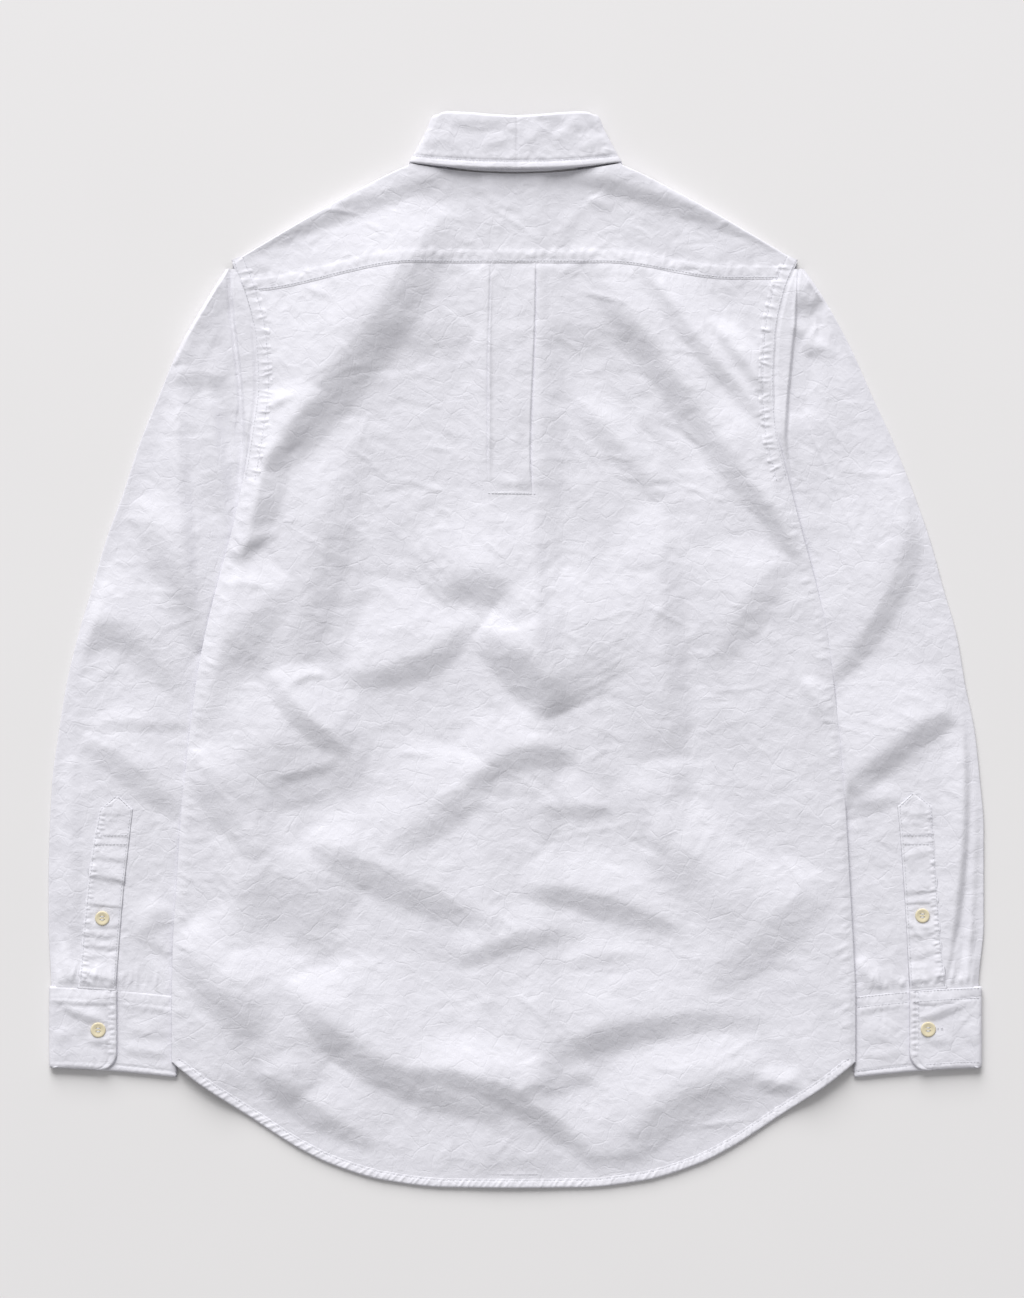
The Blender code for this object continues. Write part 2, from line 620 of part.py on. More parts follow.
def add_front(collection, name, side, material):
    """One front, flat underneath, from the yoke's front seam and the neck to its hem."""
    cells = 11
    sign = SIGN[side]
    levels = body_levels()[0]
    armhole_rows = int(np.sum(levels > UNDERARM_Y)) + 1
    forward = YOKE_FORWARD + 1.5 * SEAM_GAP
    top_end = shoulder_y(EDGE[side](YOKE_SEAM_END_Y)) - forward
    bottom_end = HEM_CORNER_Y + FRONT_HEM_SHORTER
    picked = np.concatenate(([top_end], levels[:armhole_rows], levels[armhole_rows + 1:-3:2], [bottom_end]))
    rows = []
    centre_edge = PLACKET_LEFT - SEAM_GAP if side == LEFT else UNDERLAP_LEFT
    for y_side in picked:
        share = (top_end - y_side) / (top_end - bottom_end)
        inset = SIDE_RETURN + 1.5 * SEAM_GAP if y_side < UNDERARM_Y else 0.0
        width = EDGE[side](y_side) - inset
        start = sign * width
        if side == LEFT:
            x = np.linspace(start, centre_edge, cells + 1)
        else:
            wing = np.linspace(start, PLACKET_RIGHT + 8.0, cells)
            x = np.concatenate((wing, [PLACKET_RIGHT + 2.0, PLACKET_RIGHT - 8.0, centre_edge]))
        top_x = x / width * EDGE[side](top_end)
        at_shoulder = np.abs(top_x) > FRONT_NECK_HALF - 1.0
        top = np.where(at_shoulder, shoulder_y(top_x) - forward, front_neck_y(top_x))
        bottom = hem_y(x / width * EDGE[side](HEM_CORNER_Y)) + FRONT_HEM_SHORTER
        y = top * (1 - share) + bottom * share
        z = front_height(x, y)
        if side == RIGHT:
            over = smooth_step(PLACKET_RIGHT + 8.0, PLACKET_RIGHT + 2.0, x)
            z = z + over * UNDERLAP_RISE
        rows.append(list(zip(x, y, z)))
    return add_sheet(collection, name, np.array(rows), CLOTH_WALL, material)


def add_front_placket(collection, material):
    """The button placket down the centre front, on the fronts' outer side."""
    row_count = 14
    rows = []
    for row in range(row_count):
        share = row / (row_count - 1)
        x = np.array([PLACKET_LEFT, (PLACKET_LEFT + PLACKET_RIGHT) / 2.0, PLACKET_RIGHT])
        y = front_neck_y(x) * (1 - share) + (hem_y(x) + FRONT_HEM_SHORTER) * share
        rows.append(list(zip(x, y, front_height(np.zeros(3), y))))
    return add_sheet(collection, "front_placket", np.array(rows), CLOTH_WALL, material)


def add_sleeve(collection, name, side, material):
    """One sleeve: a flattened tube, open at the armhole and at the cuff, flat underneath."""
    sign = SIGN[side]
    levels = body_levels()[0]
    armhole = levels[levels > UNDERARM_Y]
    below = np.linspace(UNDERARM_Y, CUFF_TOP_Y + SEAM_GAP, 20)
    levels = np.concatenate(([297.0, 288.0], armhole, below))
    rows = []
    for level in levels:
        outer, edge = OUTER[side](level), EDGE[side](level)
        is_open = level > UNDERARM_Y
        inner = edge + SEAM_GAP + 0.2 if is_open else min(INNER(level), edge + SEAM_GAP)
        width = outer - inner
        scale = min(1.0, width / 30.0)
        knee = inner + max(edge - inner + 6.0, 0.24 * width)
        top = np.concatenate((
            [inner, inner + 0.9 * scale, (inner + knee) / 2.0],
            np.linspace(knee, outer - 4.0 * scale, 6),
            [outer - 0.9 * scale, outer]))
        bottom = np.concatenate((
            [outer - 0.9 * scale], np.linspace(outer - 4.0 * scale, inner + 4.0 * scale, 5),
            [inner + 0.9 * scale, inner]))
        share_top = (outer - top) / width
        share_bottom = (outer - bottom) / width
        slant = smooth_step(-196.0, CUFF_TOP_Y, level)
        y_top = level - slant * cuff_drop(share_top)
        y_bottom = level - slant * cuff_drop(share_bottom)
        z_top = sleeve_height(sign * top, np.full(top.shape, level), side)
        under = tuck_lift(np.array([sign * edge]), np.array([level]))[0] if is_open else 0.0
        rise = smooth_step(UNDERARM_RAMP, 0.0, bottom - edge)
        z_bottom = FLOOR_LAYER + under * rise
        z_top[-1] = 0.5 * (SLEEVE_TOP_LAYER + FLOOR_LAYER)
        z_top[-2] = SLEEVE_TOP_LAYER - 0.35
        z_bottom[0] = FLOOR_LAYER + 0.35
        if not is_open:
            z_top[0] = z_bottom[-1] = 0.5 * (SLEEVE_TOP_LAYER + FLOOR_LAYER)
            z_top[1] = SLEEVE_TOP_LAYER - 0.35
            z_bottom[-2] = FLOOR_LAYER + 0.35
        rows.append(list(zip(sign * top, y_top, z_top)) + list(zip(sign * bottom, y_bottom, z_bottom)))
    return add_sheet(collection, name, np.array(rows), CLOTH_WALL, material)


def add_cuff(collection, name, side, material):
    """One cuff: a stiff band wrapped round once, with its rounded end lying over the other end."""
    sign = SIGN[side]
    rows = []
    for share in (0.0, 0.3, 0.6, 0.8, 0.93, 1.0):
        corner = CUFF_CORNER * (1.0 - math.sqrt(max(0.0, 1.0 - max(0.0, (share - 0.7) / 0.3) ** 2)))
        end = CUFF_OVERLAP_END + corner
        far = np.array([
            CUFF_UNDERLAP_END, 318.0, 300.0, 282.0, CUFF_INNER + 4.0, CUFF_INNER + 1.0,
            CUFF_INNER, CUFF_INNER + 1.0, CUFF_INNER + 4.0, 290.0, 320.0, 344.0, CUFF_OUTER - 4.5,
            CUFF_OUTER - 1.2, CUFF_OUTER, CUFF_OUTER - 1.2, CUFF_OUTER - 5.0, 344.0, 336.0,
            0.5 * (336.0 + end), end])
        low, under, over = STIFF_WALL / 2, CUFF_UNDER_Z, CUFF_OVER_Z
        z = np.array([
            under, under, under, under, under, under - 0.5,
            0.5 * (low + under), low + 0.5, low, low, low, low, low,
            low + 0.7, 2.9, 4.6, 5.3, 5.7, over,
            over, over])
        slant = cuff_drop((CUFF_OUTER - far) / (CUFF_OUTER - CUFF_INNER))
        y = CUFF_TOP_Y - SEAM_GAP - slant - share * CUFF_HEIGHT
        rows.append(list(zip(sign * far, y, z)))
    return add_sheet(collection, name, np.array(rows), STIFF_WALL, material)


def add_sleeve_placket(collection, name, side, table, material):
    """The pointed placket, on the sleeve's upper layer and parallel to it."""
    rows = []
    rise = CLOTH_WALL + PLACKET_SEAT
    for y, left, right in table:
        x = np.linspace(left, right, 4)
        slant = smooth_step(-196.0, CUFF_TOP_Y, y) * cuff_drop((OUTER[side](y) - SIGN[side] * x) / 98.0)
        z = sleeve_height(x, np.full(x.shape, y), side) + rise
        rows.append(list(zip(x, y - slant + SEAM_GAP, z)))
    return add_sheet(collection, name, np.array(rows), CLOTH_WALL, material)


def collar_rows(steps):
    """The collar's rows, smooth through the table, from the left front end round to the right one."""
    table = np.array(COLLAR)
    keys = np.arange(len(table), dtype=float)
    at = np.linspace(0.0, keys[-1], steps)
    curves = [curve_through(np.column_stack((keys, table[:, column])), 1) for column in range(table.shape[1])]
    right = np.column_stack([read(at) for read in curves])
    mirror = right.copy()
    mirror[:, (0, 3, 6)] *= -1.0
    return np.concatenate((mirror[:0:-1], right))


def add_collar_stand(collection, material):
    """The band between the neck seam and the collar's fold."""
    rows = []
    for row in collar_rows(22):
        seam, fold = row[0:3], row[3:6]
        rows.append([seam * (1 - share) + fold * share for share in (0.0, 0.35, 0.7, 1.0)])
    return add_sheet(collection, "collar_stand", np.array(rows), STIFF_WALL, material)


def add_collar_fall(collection, material):
    """The collar leaf: it turns over the stand's top edge and comes down outside it."""
    rows = []
    for row in collar_rows(22):
        seam, fold, leaf, turned = row[0:3], row[3:6], row[6:9], math.radians(row[9])
        up = (fold - seam) / np.linalg.norm(fold - seam)
        flat = np.array([up[1], -up[0], 0.0]) * (1.0 if seam[0] > 0.0 else -1.0)
        off = np.array([0.0, 0.0, math.cos(turned)]) + flat * math.sin(turned)
        room = FALL_ROOM + SIDE_ROOM * math.sin(turned) ** 2
        start = fold + up * FOLD_START + off * 0.2 * room
        crest = fold + up * FOLD_OVER + off * 0.6 * room
        turn = fold + up * 1.6 + off * room
        shares = (0.3, 0.65, 1.0)
        run = [turn * (1 - share) + leaf * share for share in shares]
        rows.append([start, crest, turn] + run)
    return add_sheet(collection, "collar_fall", np.array(rows), STIFF_WALL, material)


def add_button(collection, name, place, diameter, material, sides):
    """A turned button with a raised rim and a dished middle, lying flat at its place."""
    radius = diameter / 2.0
    profile = (
        (0.0, BUTTON_THICK * 0.72), (radius * 0.55, BUTTON_THICK * 0.72), (radius * 0.72, BUTTON_THICK),
        (radius * 0.9, BUTTON_THICK * 0.95), (radius, BUTTON_THICK * 0.5), (radius * 0.8, 0.0), (0.0, 0.0))
    mesh = bpy.data.meshes.new(name)
    button = bpy.data.objects.new(name, mesh)
    collection.objects.link(button)
    shape = bmesh.new()
    points = [shape.verts.new((out * MM, 0.0, up * MM)) for out, up in profile]
    for first, second in zip(points, points[1:]):
        shape.edges.new((first, second))
    shape.to_mesh(mesh)
    shape.free()
    turned = button.modifiers.new("turned", "SCREW")
    turned.axis = "Z"
    turned.steps = sides
    turned.render_steps = sides
    turned.use_merge_vertices = True
    turned.merge_threshold = 0.00001
    mesh.materials.append(material)
    button.location = tuple(value * MM for value in place)
    return button


def add_buttons(collection, material):
    """The cuff and placket buttons on top, and the front buttons underneath."""
    cuff_top = CUFF_OVER_Z + STIFF_WALL / 2 + BUTTON_SEAT
    placket_rise = CLOTH_WALL + PLACKET_SEAT + HALF_WALL + BUTTON_SEAT
    for label, side, cuff_place, placket_place in (
            ("left", LEFT, (-325.0, -296.0), (-322.0, -209.0)),
            ("right", RIGHT, (321.5, -295.5), (317.0, -207.0))):
        place = (*cuff_place, cuff_top)
        add_button(collection, "cuff_button_" + label, place, CUFF_BUTTON_D, material, 18)
        x, y = placket_place
        height = float(sleeve_height(np.array([x]), np.array([y]), side)[0]) + placket_rise
        add_button(collection, "placket_button_" + label, (x, y, height), PLACKET_BUTTON_D, material, 18)
    places = [COLLAR_BUTTON_Y]
    places += [FRONT_BUTTON_TOP_Y - step * FRONT_BUTTON_STEP for step in range(FRONT_BUTTONS_ON_PLACKET)]
    for number, y in enumerate(places, start=1):
        place = (FRONT_BUTTON_X, y, 0.05)
        add_button(collection, f"front_button_{number}", place, FRONT_BUTTON_D, material, 12)


def build_shirt():
    """Make every piece of the shirt."""
    clear_objects()
    shirt = make_collection("oxford_shirt")
    cloth = make_material("oxford_cloth", CLOTH_COLOUR, 0.85)
    pearl = make_material("button_plastic", BUTTON_COLOUR, 0.35)
    add_back(shirt, cloth)
    add_yoke(shirt, cloth)
    add_front(shirt, "front_left", LEFT, cloth)
    add_front(shirt, "front_right", RIGHT, cloth)
    add_front_placket(shirt, cloth)
    add_sleeve(shirt, "sleeve_left", LEFT, cloth)
    add_sleeve(shirt, "sleeve_right", RIGHT, cloth)
    add_cuff(shirt, "cuff_left", LEFT, cloth)
    add_cuff(shirt, "cuff_right", RIGHT, cloth)
    add_sleeve_placket(shirt, "sleeve_placket_left", LEFT, LEFT_SLEEVE_PLACKET, cloth)
    add_sleeve_placket(shirt, "sleeve_placket_right", RIGHT, RIGHT_SLEEVE_PLACKET, cloth)
    add_collar_stand(shirt, cloth)
    add_collar_fall(shirt, cloth)
    add_buttons(shirt, pearl)


build_shirt()
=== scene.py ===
"""The looks of an oxford shirt that lies face down: fine cloth, seams, stitches, buttons and light.

Numbers are millimetres unless they say otherwise. X runs right as seen from above, Y towards the
collar, Z up from the floor. The first tables repeat the sizes that the solids were made from. Each
cloth piece is a fine grid on its solid's form, raised by a height map of its folds and creases.
"""

import math

import bpy
import numpy as np
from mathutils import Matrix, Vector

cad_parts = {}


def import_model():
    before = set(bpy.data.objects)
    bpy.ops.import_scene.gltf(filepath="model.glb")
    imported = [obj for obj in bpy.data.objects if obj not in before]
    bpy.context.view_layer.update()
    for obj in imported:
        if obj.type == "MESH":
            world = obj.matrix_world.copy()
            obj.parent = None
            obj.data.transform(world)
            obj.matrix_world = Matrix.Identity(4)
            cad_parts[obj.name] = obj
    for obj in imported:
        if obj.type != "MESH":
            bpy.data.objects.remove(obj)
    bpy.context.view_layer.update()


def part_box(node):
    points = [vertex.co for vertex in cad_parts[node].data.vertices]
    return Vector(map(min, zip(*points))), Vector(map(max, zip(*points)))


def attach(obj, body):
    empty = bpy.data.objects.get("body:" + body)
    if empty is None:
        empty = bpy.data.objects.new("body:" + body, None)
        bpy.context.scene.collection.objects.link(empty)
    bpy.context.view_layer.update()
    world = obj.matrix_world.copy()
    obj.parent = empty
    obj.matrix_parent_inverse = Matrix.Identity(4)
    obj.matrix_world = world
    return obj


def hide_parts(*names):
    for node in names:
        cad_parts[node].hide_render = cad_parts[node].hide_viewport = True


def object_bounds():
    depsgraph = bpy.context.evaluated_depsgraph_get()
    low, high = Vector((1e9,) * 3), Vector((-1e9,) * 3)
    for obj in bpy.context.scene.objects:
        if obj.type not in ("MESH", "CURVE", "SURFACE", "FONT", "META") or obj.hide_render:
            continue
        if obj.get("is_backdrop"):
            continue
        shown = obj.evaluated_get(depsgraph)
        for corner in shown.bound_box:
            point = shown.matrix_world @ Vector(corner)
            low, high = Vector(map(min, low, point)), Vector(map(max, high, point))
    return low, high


MM = 0.001
SEED = 417

# Layers of the lying shirt: middle of a wall on the floor, a sleeve's upper layer, and the back.
FLOOR_LAYER = 0.6
SLEEVE_TOP_LAYER = 2.8
BACK_OVER_FRONT = 2

# Shoulder line, neck and yoke.
SHOULDER_POINT = (221, 302)
NECK_SIDE = (82, 378)
SHOULDER_RISE_POWER = 1.12
BACK_NECK_Y = 371
BACK_NECK_DIP = 8
FRONT_NECK_HALF = 80
FRONT_NECK_DROP = 66
FRONT_NECK_CENTRE_Y = 372
YOKE_SEAM_CENTRE_Y = 301.3
YOKE_SEAM_END_Y = 279
YOKE_SEAM_RIGHT_Y = 288.8
YOKE_FORWARD = 22
SHOULDER_ROLL = 0.8

# Sides, hem and front placket.
UNDERARM_Y = 146
SIDE_RETURN = 12
SIDE_ROLL = 0.9
HEM_CORNER_Y = -321
HEM_TAIL_Y = -419.5
FRONT_HEM_SHORTER = 10.5
PLACKET_LEFT = -19
PLACKET_RIGHT = 16
PLACKET_LIFT = 2.7
PLACKET_RAMP = 26
UNDERLAP_LEFT = -14
UNDERLAP_RISE = 1.6

# Rise of the body over the collar's front and over the sleeves under its sides.
COLLAR_LIFT = 3
COLLAR_LIFT_X = 92
COLLAR_LIFT_Y = 258
COLLAR_LIFT_RAMP = 34
LIFT_RAMP = 46

# Seams: how wide their sewn bands are, and how far from the edge their stitches run.
YOKE_RISE = 0.22
YOKE_BAND = 3.2
YOKE_STITCH = 2
ARMHOLE_BAND = 10.2
ARMHOLE_STITCH = 9.2
ARMHOLE_EDGE_STITCH = 1.6
HEM_BAND = 6.6
YOKE_OVERLAP = 4
TAIL_SINK = 0.6
TAIL_EDGE_Z = 2
HEM_STITCH = 5.8

# The yoke's folded edge at its seam: way up from the seam, drop.
YOKE_FOLD = ((4, 0.5), (0.8, 0.45), (0.15, 0.28), (0, 0.15), (0.2, 0.03))

# The mesh of a sleeve: the rows that are open to the armhole, and the cells round a rolled edge.
SLEEVE_TOP_Y = 297
OPEN_ROWS = 87
TURN_CELLS = 8

# The mesh of the back: its rows, the cells from a side to the pleat, and the columns' distances
# from the pleat's edges.
BACK_ROWS = 364
WING_CELLS = 104
BESIDE_PLEAT = np.array((3.2, 1.9, 1.1, 0.55, 0))

# Collar and cuffs.
FOLD_START = 4.1
FOLD_OVER = 4.7
FALL_ROOM = 2.4
SIDE_ROOM = 1.8
CUFF_TOP_Y = -262
CUFF_HEIGHT = 63.6
CUFF_SLANT = 7.5
CUFF_OUTER = 362.5
CUFF_INNER = 264.5
CUFF_WIDTH = CUFF_OUTER - CUFF_INNER
CUFF_ROW = 9
CUFF_EDGE_ROW = 5
CUFF_END_ROW = 7
CUFF_HOLE_Y = -295
SLANT_START_Y = -196
CUFF_UNDERLAP_END = 333
CUFF_CORNER = 15
CUFF_UNDER_Z = 3.4
CUFF_OVER_Z = 5.8

# Buttons: how deep they sink into the cloth, their share of the solid's thickness, and their holes.
# In section: shares of the radius, and shares of the thickness there.
BUTTON_SUNK = 0.5
BUTTON_SHARE = 0.75
HOLE_PLACE = 1.25
HOLE_RADIUS = 0.62
HOLE_DEPTH = 0.9
BUTTON_SECTION = ((0, 0.5, 0.62, 0.8, 0.93, 1), (0.76, 0.78, 0.89, 1, 0.93, 0.5))

# The tail: share of the half width from the centre, y.
HEM = (
    (0, -419.5),
    (0.2, -419),
    (0.38, -413.5),
    (0.53, -401.5),
    (0.63, -388.5),
    (0.705, -376),
    (0.775, -363.5),
    (0.85, -350.5),
    (0.92, -338),
    (1, -321),
)

# The body's side edges, as distances from the centre line: y, left, right.
BODY_EDGES = (
    (310, 224, 223),
    (278, 212, 210),
    (244, 204, 203.5),
    (208, 202, 202),
    (172, 206, 204),
    (143, 210.5, 210.5),
    (97, 220, 222),
    (49, 233, 235),
    (12, 242, 243.5),
    (-29, 249.5, 248.5),
    (-78, 255.5, 254),
    (-125, 260.5, 257.5),
    (-179, 264, 260.5),
    (-226, 267, 263),
    (-273, 268, 265),
    (-321, 268, 265),
    (-430, 268, 265),
)

# Outer edge of each sleeve, as distances from the centre line: y, left, right.
SLEEVE_OUTER = (
    (302, 222.5, 221.5),
    (273, 241, 241),
    (236, 262, 261),
    (198, 278, 278),
    (161, 293, 295),
    (123, 305.5, 310),
    (86, 319, 323),
    (48, 330, 333.5),
    (11, 341, 344),
    (-27, 350, 350.5),
    (-64, 356, 358),
    (-101, 361, 362),
    (-139, 363, 365),
    (-176, 364, 365),
    (-214, 364, 365),
    (-262, 362, 361),
    (-340, 362, 361),
)

# The sleeve's inner edge under the body, and the body's rise over it:
# y, inner edge, distance from which the body is lifted, lift.
TUCK = (
    (240, 204, 200, 0),
    (205, 202, 190, 0),
    (160, 208, 178, 4.2),
    (146, 210, 172, 4.2),
    (130, 205, 164, 4.2),
    (108, 188, 156, 4.2),
    (86, 174, 152, 4.2),
    (23, 186, 162, 4.2),
    (-55, 208, 184, 4.2),
    (-133, 230, 206, 4.2),
    (-211, 250, 226, 4.5),
    (-262, 262, 238, 5.4),
    (-335, 264, 240, 5.4),
    (-430, 264, 240, 4),
)

# The box pleat's two pressed edges: y, left x, right x.
PLEAT = (
    (310, -18.5, 15.5),
    (262, -19.5, 14.6),
    (220, -20.6, 13.2),
    (185, -20.6, 11.6),
    (150, -20.8, 11),
    (118, -18.8, 13),
)
PLEAT_END_Y = 122
PLEAT_RAISE = 1.6

# The pleat's edge in section: distances out from it, and the shares of its rise there.
PLEAT_SECTION = ((-2.6, -0.5, 0, 0.55, 1.1, 1.9, 3.2), (1, 0.95, 0.75, -0.66, -0.45, -0.08, 0))

# Half of the collar, from the centre back round to the centre front. Columns: the neck seam, the
# fold at the top of the stand, and the leaf's free edge, each as x, y, z, then the way out of the
# neck at the fold, in degrees from straight up.
COLLAR = (
    (0, 372, 8.6, 0, 410.9, 10.3, 0, 374.2, 13.4, 0),
    (20, 372.6, 8.6, 19, 411.9, 10.3, 22, 374.4, 13.2, 0),
    (40, 374.4, 8.3, 36, 413.4, 10, 44, 375.4, 12.3, 0),
    (60, 377.5, 7.7, 52.5, 414.2, 9.3, 64, 377.2, 10.2, 3),
    (71, 381.5, 6.7, 59.8, 412.8, 8.4, 78, 378.8, 8.8, 14),
    (75, 383, 5.2, 61, 409.5, 6, 82.2, 379.2, 6, 85),
    (76, 380.5, 3.7, 59, 405, 4.4, 83, 377.4, 2.8, 130),
    (76, 368, 3.6, 57, 394, 3.6, 88, 366, 1.2, 170),
    (72.5, 350, 3.6, 52, 373, 3.5, 87, 338, 1.2, 180),
    (60, 332, 3.6, 42, 356, 3.5, 79, 300, 1.2, 180),
    (45, 320, 3.6, 31, 346, 3.5, 66, 268, 1.2, 180),
    (28, 312.5, 3.6, 19, 340, 3.5, 40, 290, 1.2, 180),
    (0.4, 307.6, 3.6, 0.4, 336.6, 3.5, 14, 311, 1.2, 180),
)

# The leaf's free edge across the back in plan: distances from the centre, and y. Its stitches run
# LEAF_STITCH in from it.
LEAF_STITCH = 6.4
LEAF_EDGE = ((0, 22, 44, 64, 78, 82.2), (374.2, 374.4, 375.4, 377.2, 378.8, 379.2))

# Dents and swells of the collar leaf, in the columns of the folds below.
COLLAR_FOLDS = (
    (-46, 410, -26, 407, -4, 411, 0.9, 8, 12, 0.4),
    (-26, 389, -16, 391, -4, 397, 0.9, 8, 10, 0.4),
    (40, 415, 22, 403, 6, 386, 0.9, 7, 11, 0.5),
    (28, 399, 38, 397, 48, 403, 0.9, 7, 9, 0.4),
    (36, 408, 46, 405, 56, 407, 0.8, 7, 9, 0.4),
    (14, 413, 24, 414, 36, 416, 0.7, 5, 8, 0.4),
    (50, 388, 60, 391, 70, 398, 0.7, 6, 10, 0.4),
    (-70, 392, -56, 393, -40, 389, 0.6, 8, 12, 0.3),
)

# Ridges across the sleeve plackets, in the same columns.
LEFT_PLACKET_RIDGES = (
    (-322, -127, -309, -129, -296, -124, 0.5, 3.4, 7, 0.5),
    (-330, -135, -312, -133.5, -294, -137, 0.2, 3, 4, 0.4),
    (-332, -143.6, -313, -145, -294, -147.6, 0.35, 2, 5, 0.6),
    (-334, -150.8, -314, -151.8, -294, -153.4, 0.35, 2.2, 5, 0.6),
    (-334, -161, -316, -163.5, -298, -164, 0.6, 3.8, 8, 0.4),
    (-338, -176, -319, -178.5, -298, -185, 1.2, 4.4, 11, 0.5),
    (-340, -198.6, -320, -199.4, -300, -201.6, 0.9, 2.6, 11, 0.6),
    (-340, -213, -322, -216, -302, -213, 0.6, 3.2, 6, 0.4),
    (-344, -219, -324, -223, -302, -222, 0.6, 3.4, 5, 0.4),
    (-344, -229, -324, -231, -304, -233, 0.6, 3, 5, 0.4),
    (-346, -238, -330, -239, -316, -237, 0.3, 2.6, 4, 0.4),
    (-346, -252.6, -326, -254.4, -304, -255.4, 1, 3.6, 11, 0.5),
)
RIGHT_PLACKET_RIDGES = (
    (298, -123, 311, -130, 324, -124, 0.5, 3.8, 6, 0.5),
    (294, -136, 306, -136.6, 318, -135, 0.2, 2.8, 4, 0.4),
    (294, -144.6, 314, -144.2, 332, -143.4, 0.35, 1.9, 5, 0.6),
    (294, -152, 314, -151, 332, -150, 0.35, 2, 5, 0.6),
    (296, -165, 314, -161, 332, -155, 0.6, 6, 7, 0.3),
    (298, -190, 316, -188.4, 334, -181, 1, 5, 12, 0.4),
    (298, -198, 318, -197.2, 336, -196.6, 0.7, 2.2, 6, 0.6),
    (300, -212, 318, -217, 336, -213, 0.6, 3.2, 7, 0.4),
    (300, -223.4, 318, -221, 336, -219, 0.6, 3, 5, 0.4),
    (302, -239, 318, -237, 338, -229, 0.8, 4.6, 9, 0.4),
    (304, -246.6, 312, -246, 322, -246.6, 0.3, 2.4, 4, 0.4),
    (304, -258, 320, -255.4, 340, -251.6, 0.9, 3.6, 11, 0.5),
)

# Dents of the cuffs, in the same columns.
LEFT_CUFF_FOLDS = (
    (-366, -273.6, -338, -275.6, -312, -275, 1.4, 3.6, 9, 0.5),
    (-354, -278, -338, -286, -318, -291, 2, 6, 9, 0.5),
    (-336, -303, -324, -306.5, -312, -303, 1.2, 5, 7, 0.4),
    (-362, -301, -352, -306, -340, -305, 0.8, 9, 12, 0.3),
    (-308, -277, -288, -280, -266, -284, 0.8, 5, 9, 0.4),
    (-304, -298, -286, -301, -268, -300, 0.8, 9, 12, 0.3),
    (-306, -313, -288, -315, -270, -318, 0.8, 6, 9, 0.3),
)
RIGHT_CUFF_FOLDS = (
    (308, -274.6, 326, -275.4, 352, -270.6, 1.3, 3.6, 9, 0.5),
    (314, -288, 330, -285, 352, -275, 1.8, 6, 9, 0.5),
    (318, -304, 330, -307, 342, -305, 0.9, 6, 9, 0.4),
    (346, -296, 352, -302, 358, -309, 0.9, 7, 10, 0.3),
    (266, -285, 284, -280, 304, -278, 0.7, 5, 9, 0.4),
    (268, -296, 284, -303, 302, -306, 1, 12, 14, 0.3),
    (270, -316, 288, -318, 304, -314, 0.6, 6, 9, 0.3),
)

# Sleeve plackets: y, left x, right x, from the cuff up to the pointed tip.
LEFT_SLEEVE_PLACKET = (
    (-263.2, -341.2, -311.2),
    (-225, -338.5, -308.5),
    (-185, -334.5, -305),
    (-150, -330, -301),
    (-124, -325, -298),
    (-114, -311.5, -309.5),
)
RIGHT_SLEEVE_PLACKET = (
    (-263.2, 307, 336.5),
    (-225, 305, 332),
    (-185, 302.6, 329.4),
    (-150, 300.2, 327),
    (-122, 297.5, 325.6),
    (-111.5, 310, 311.6),
)

# Y of the two stitched bars across each sleeve placket.
PLACKET_BARS = (-144.4, -151.4)

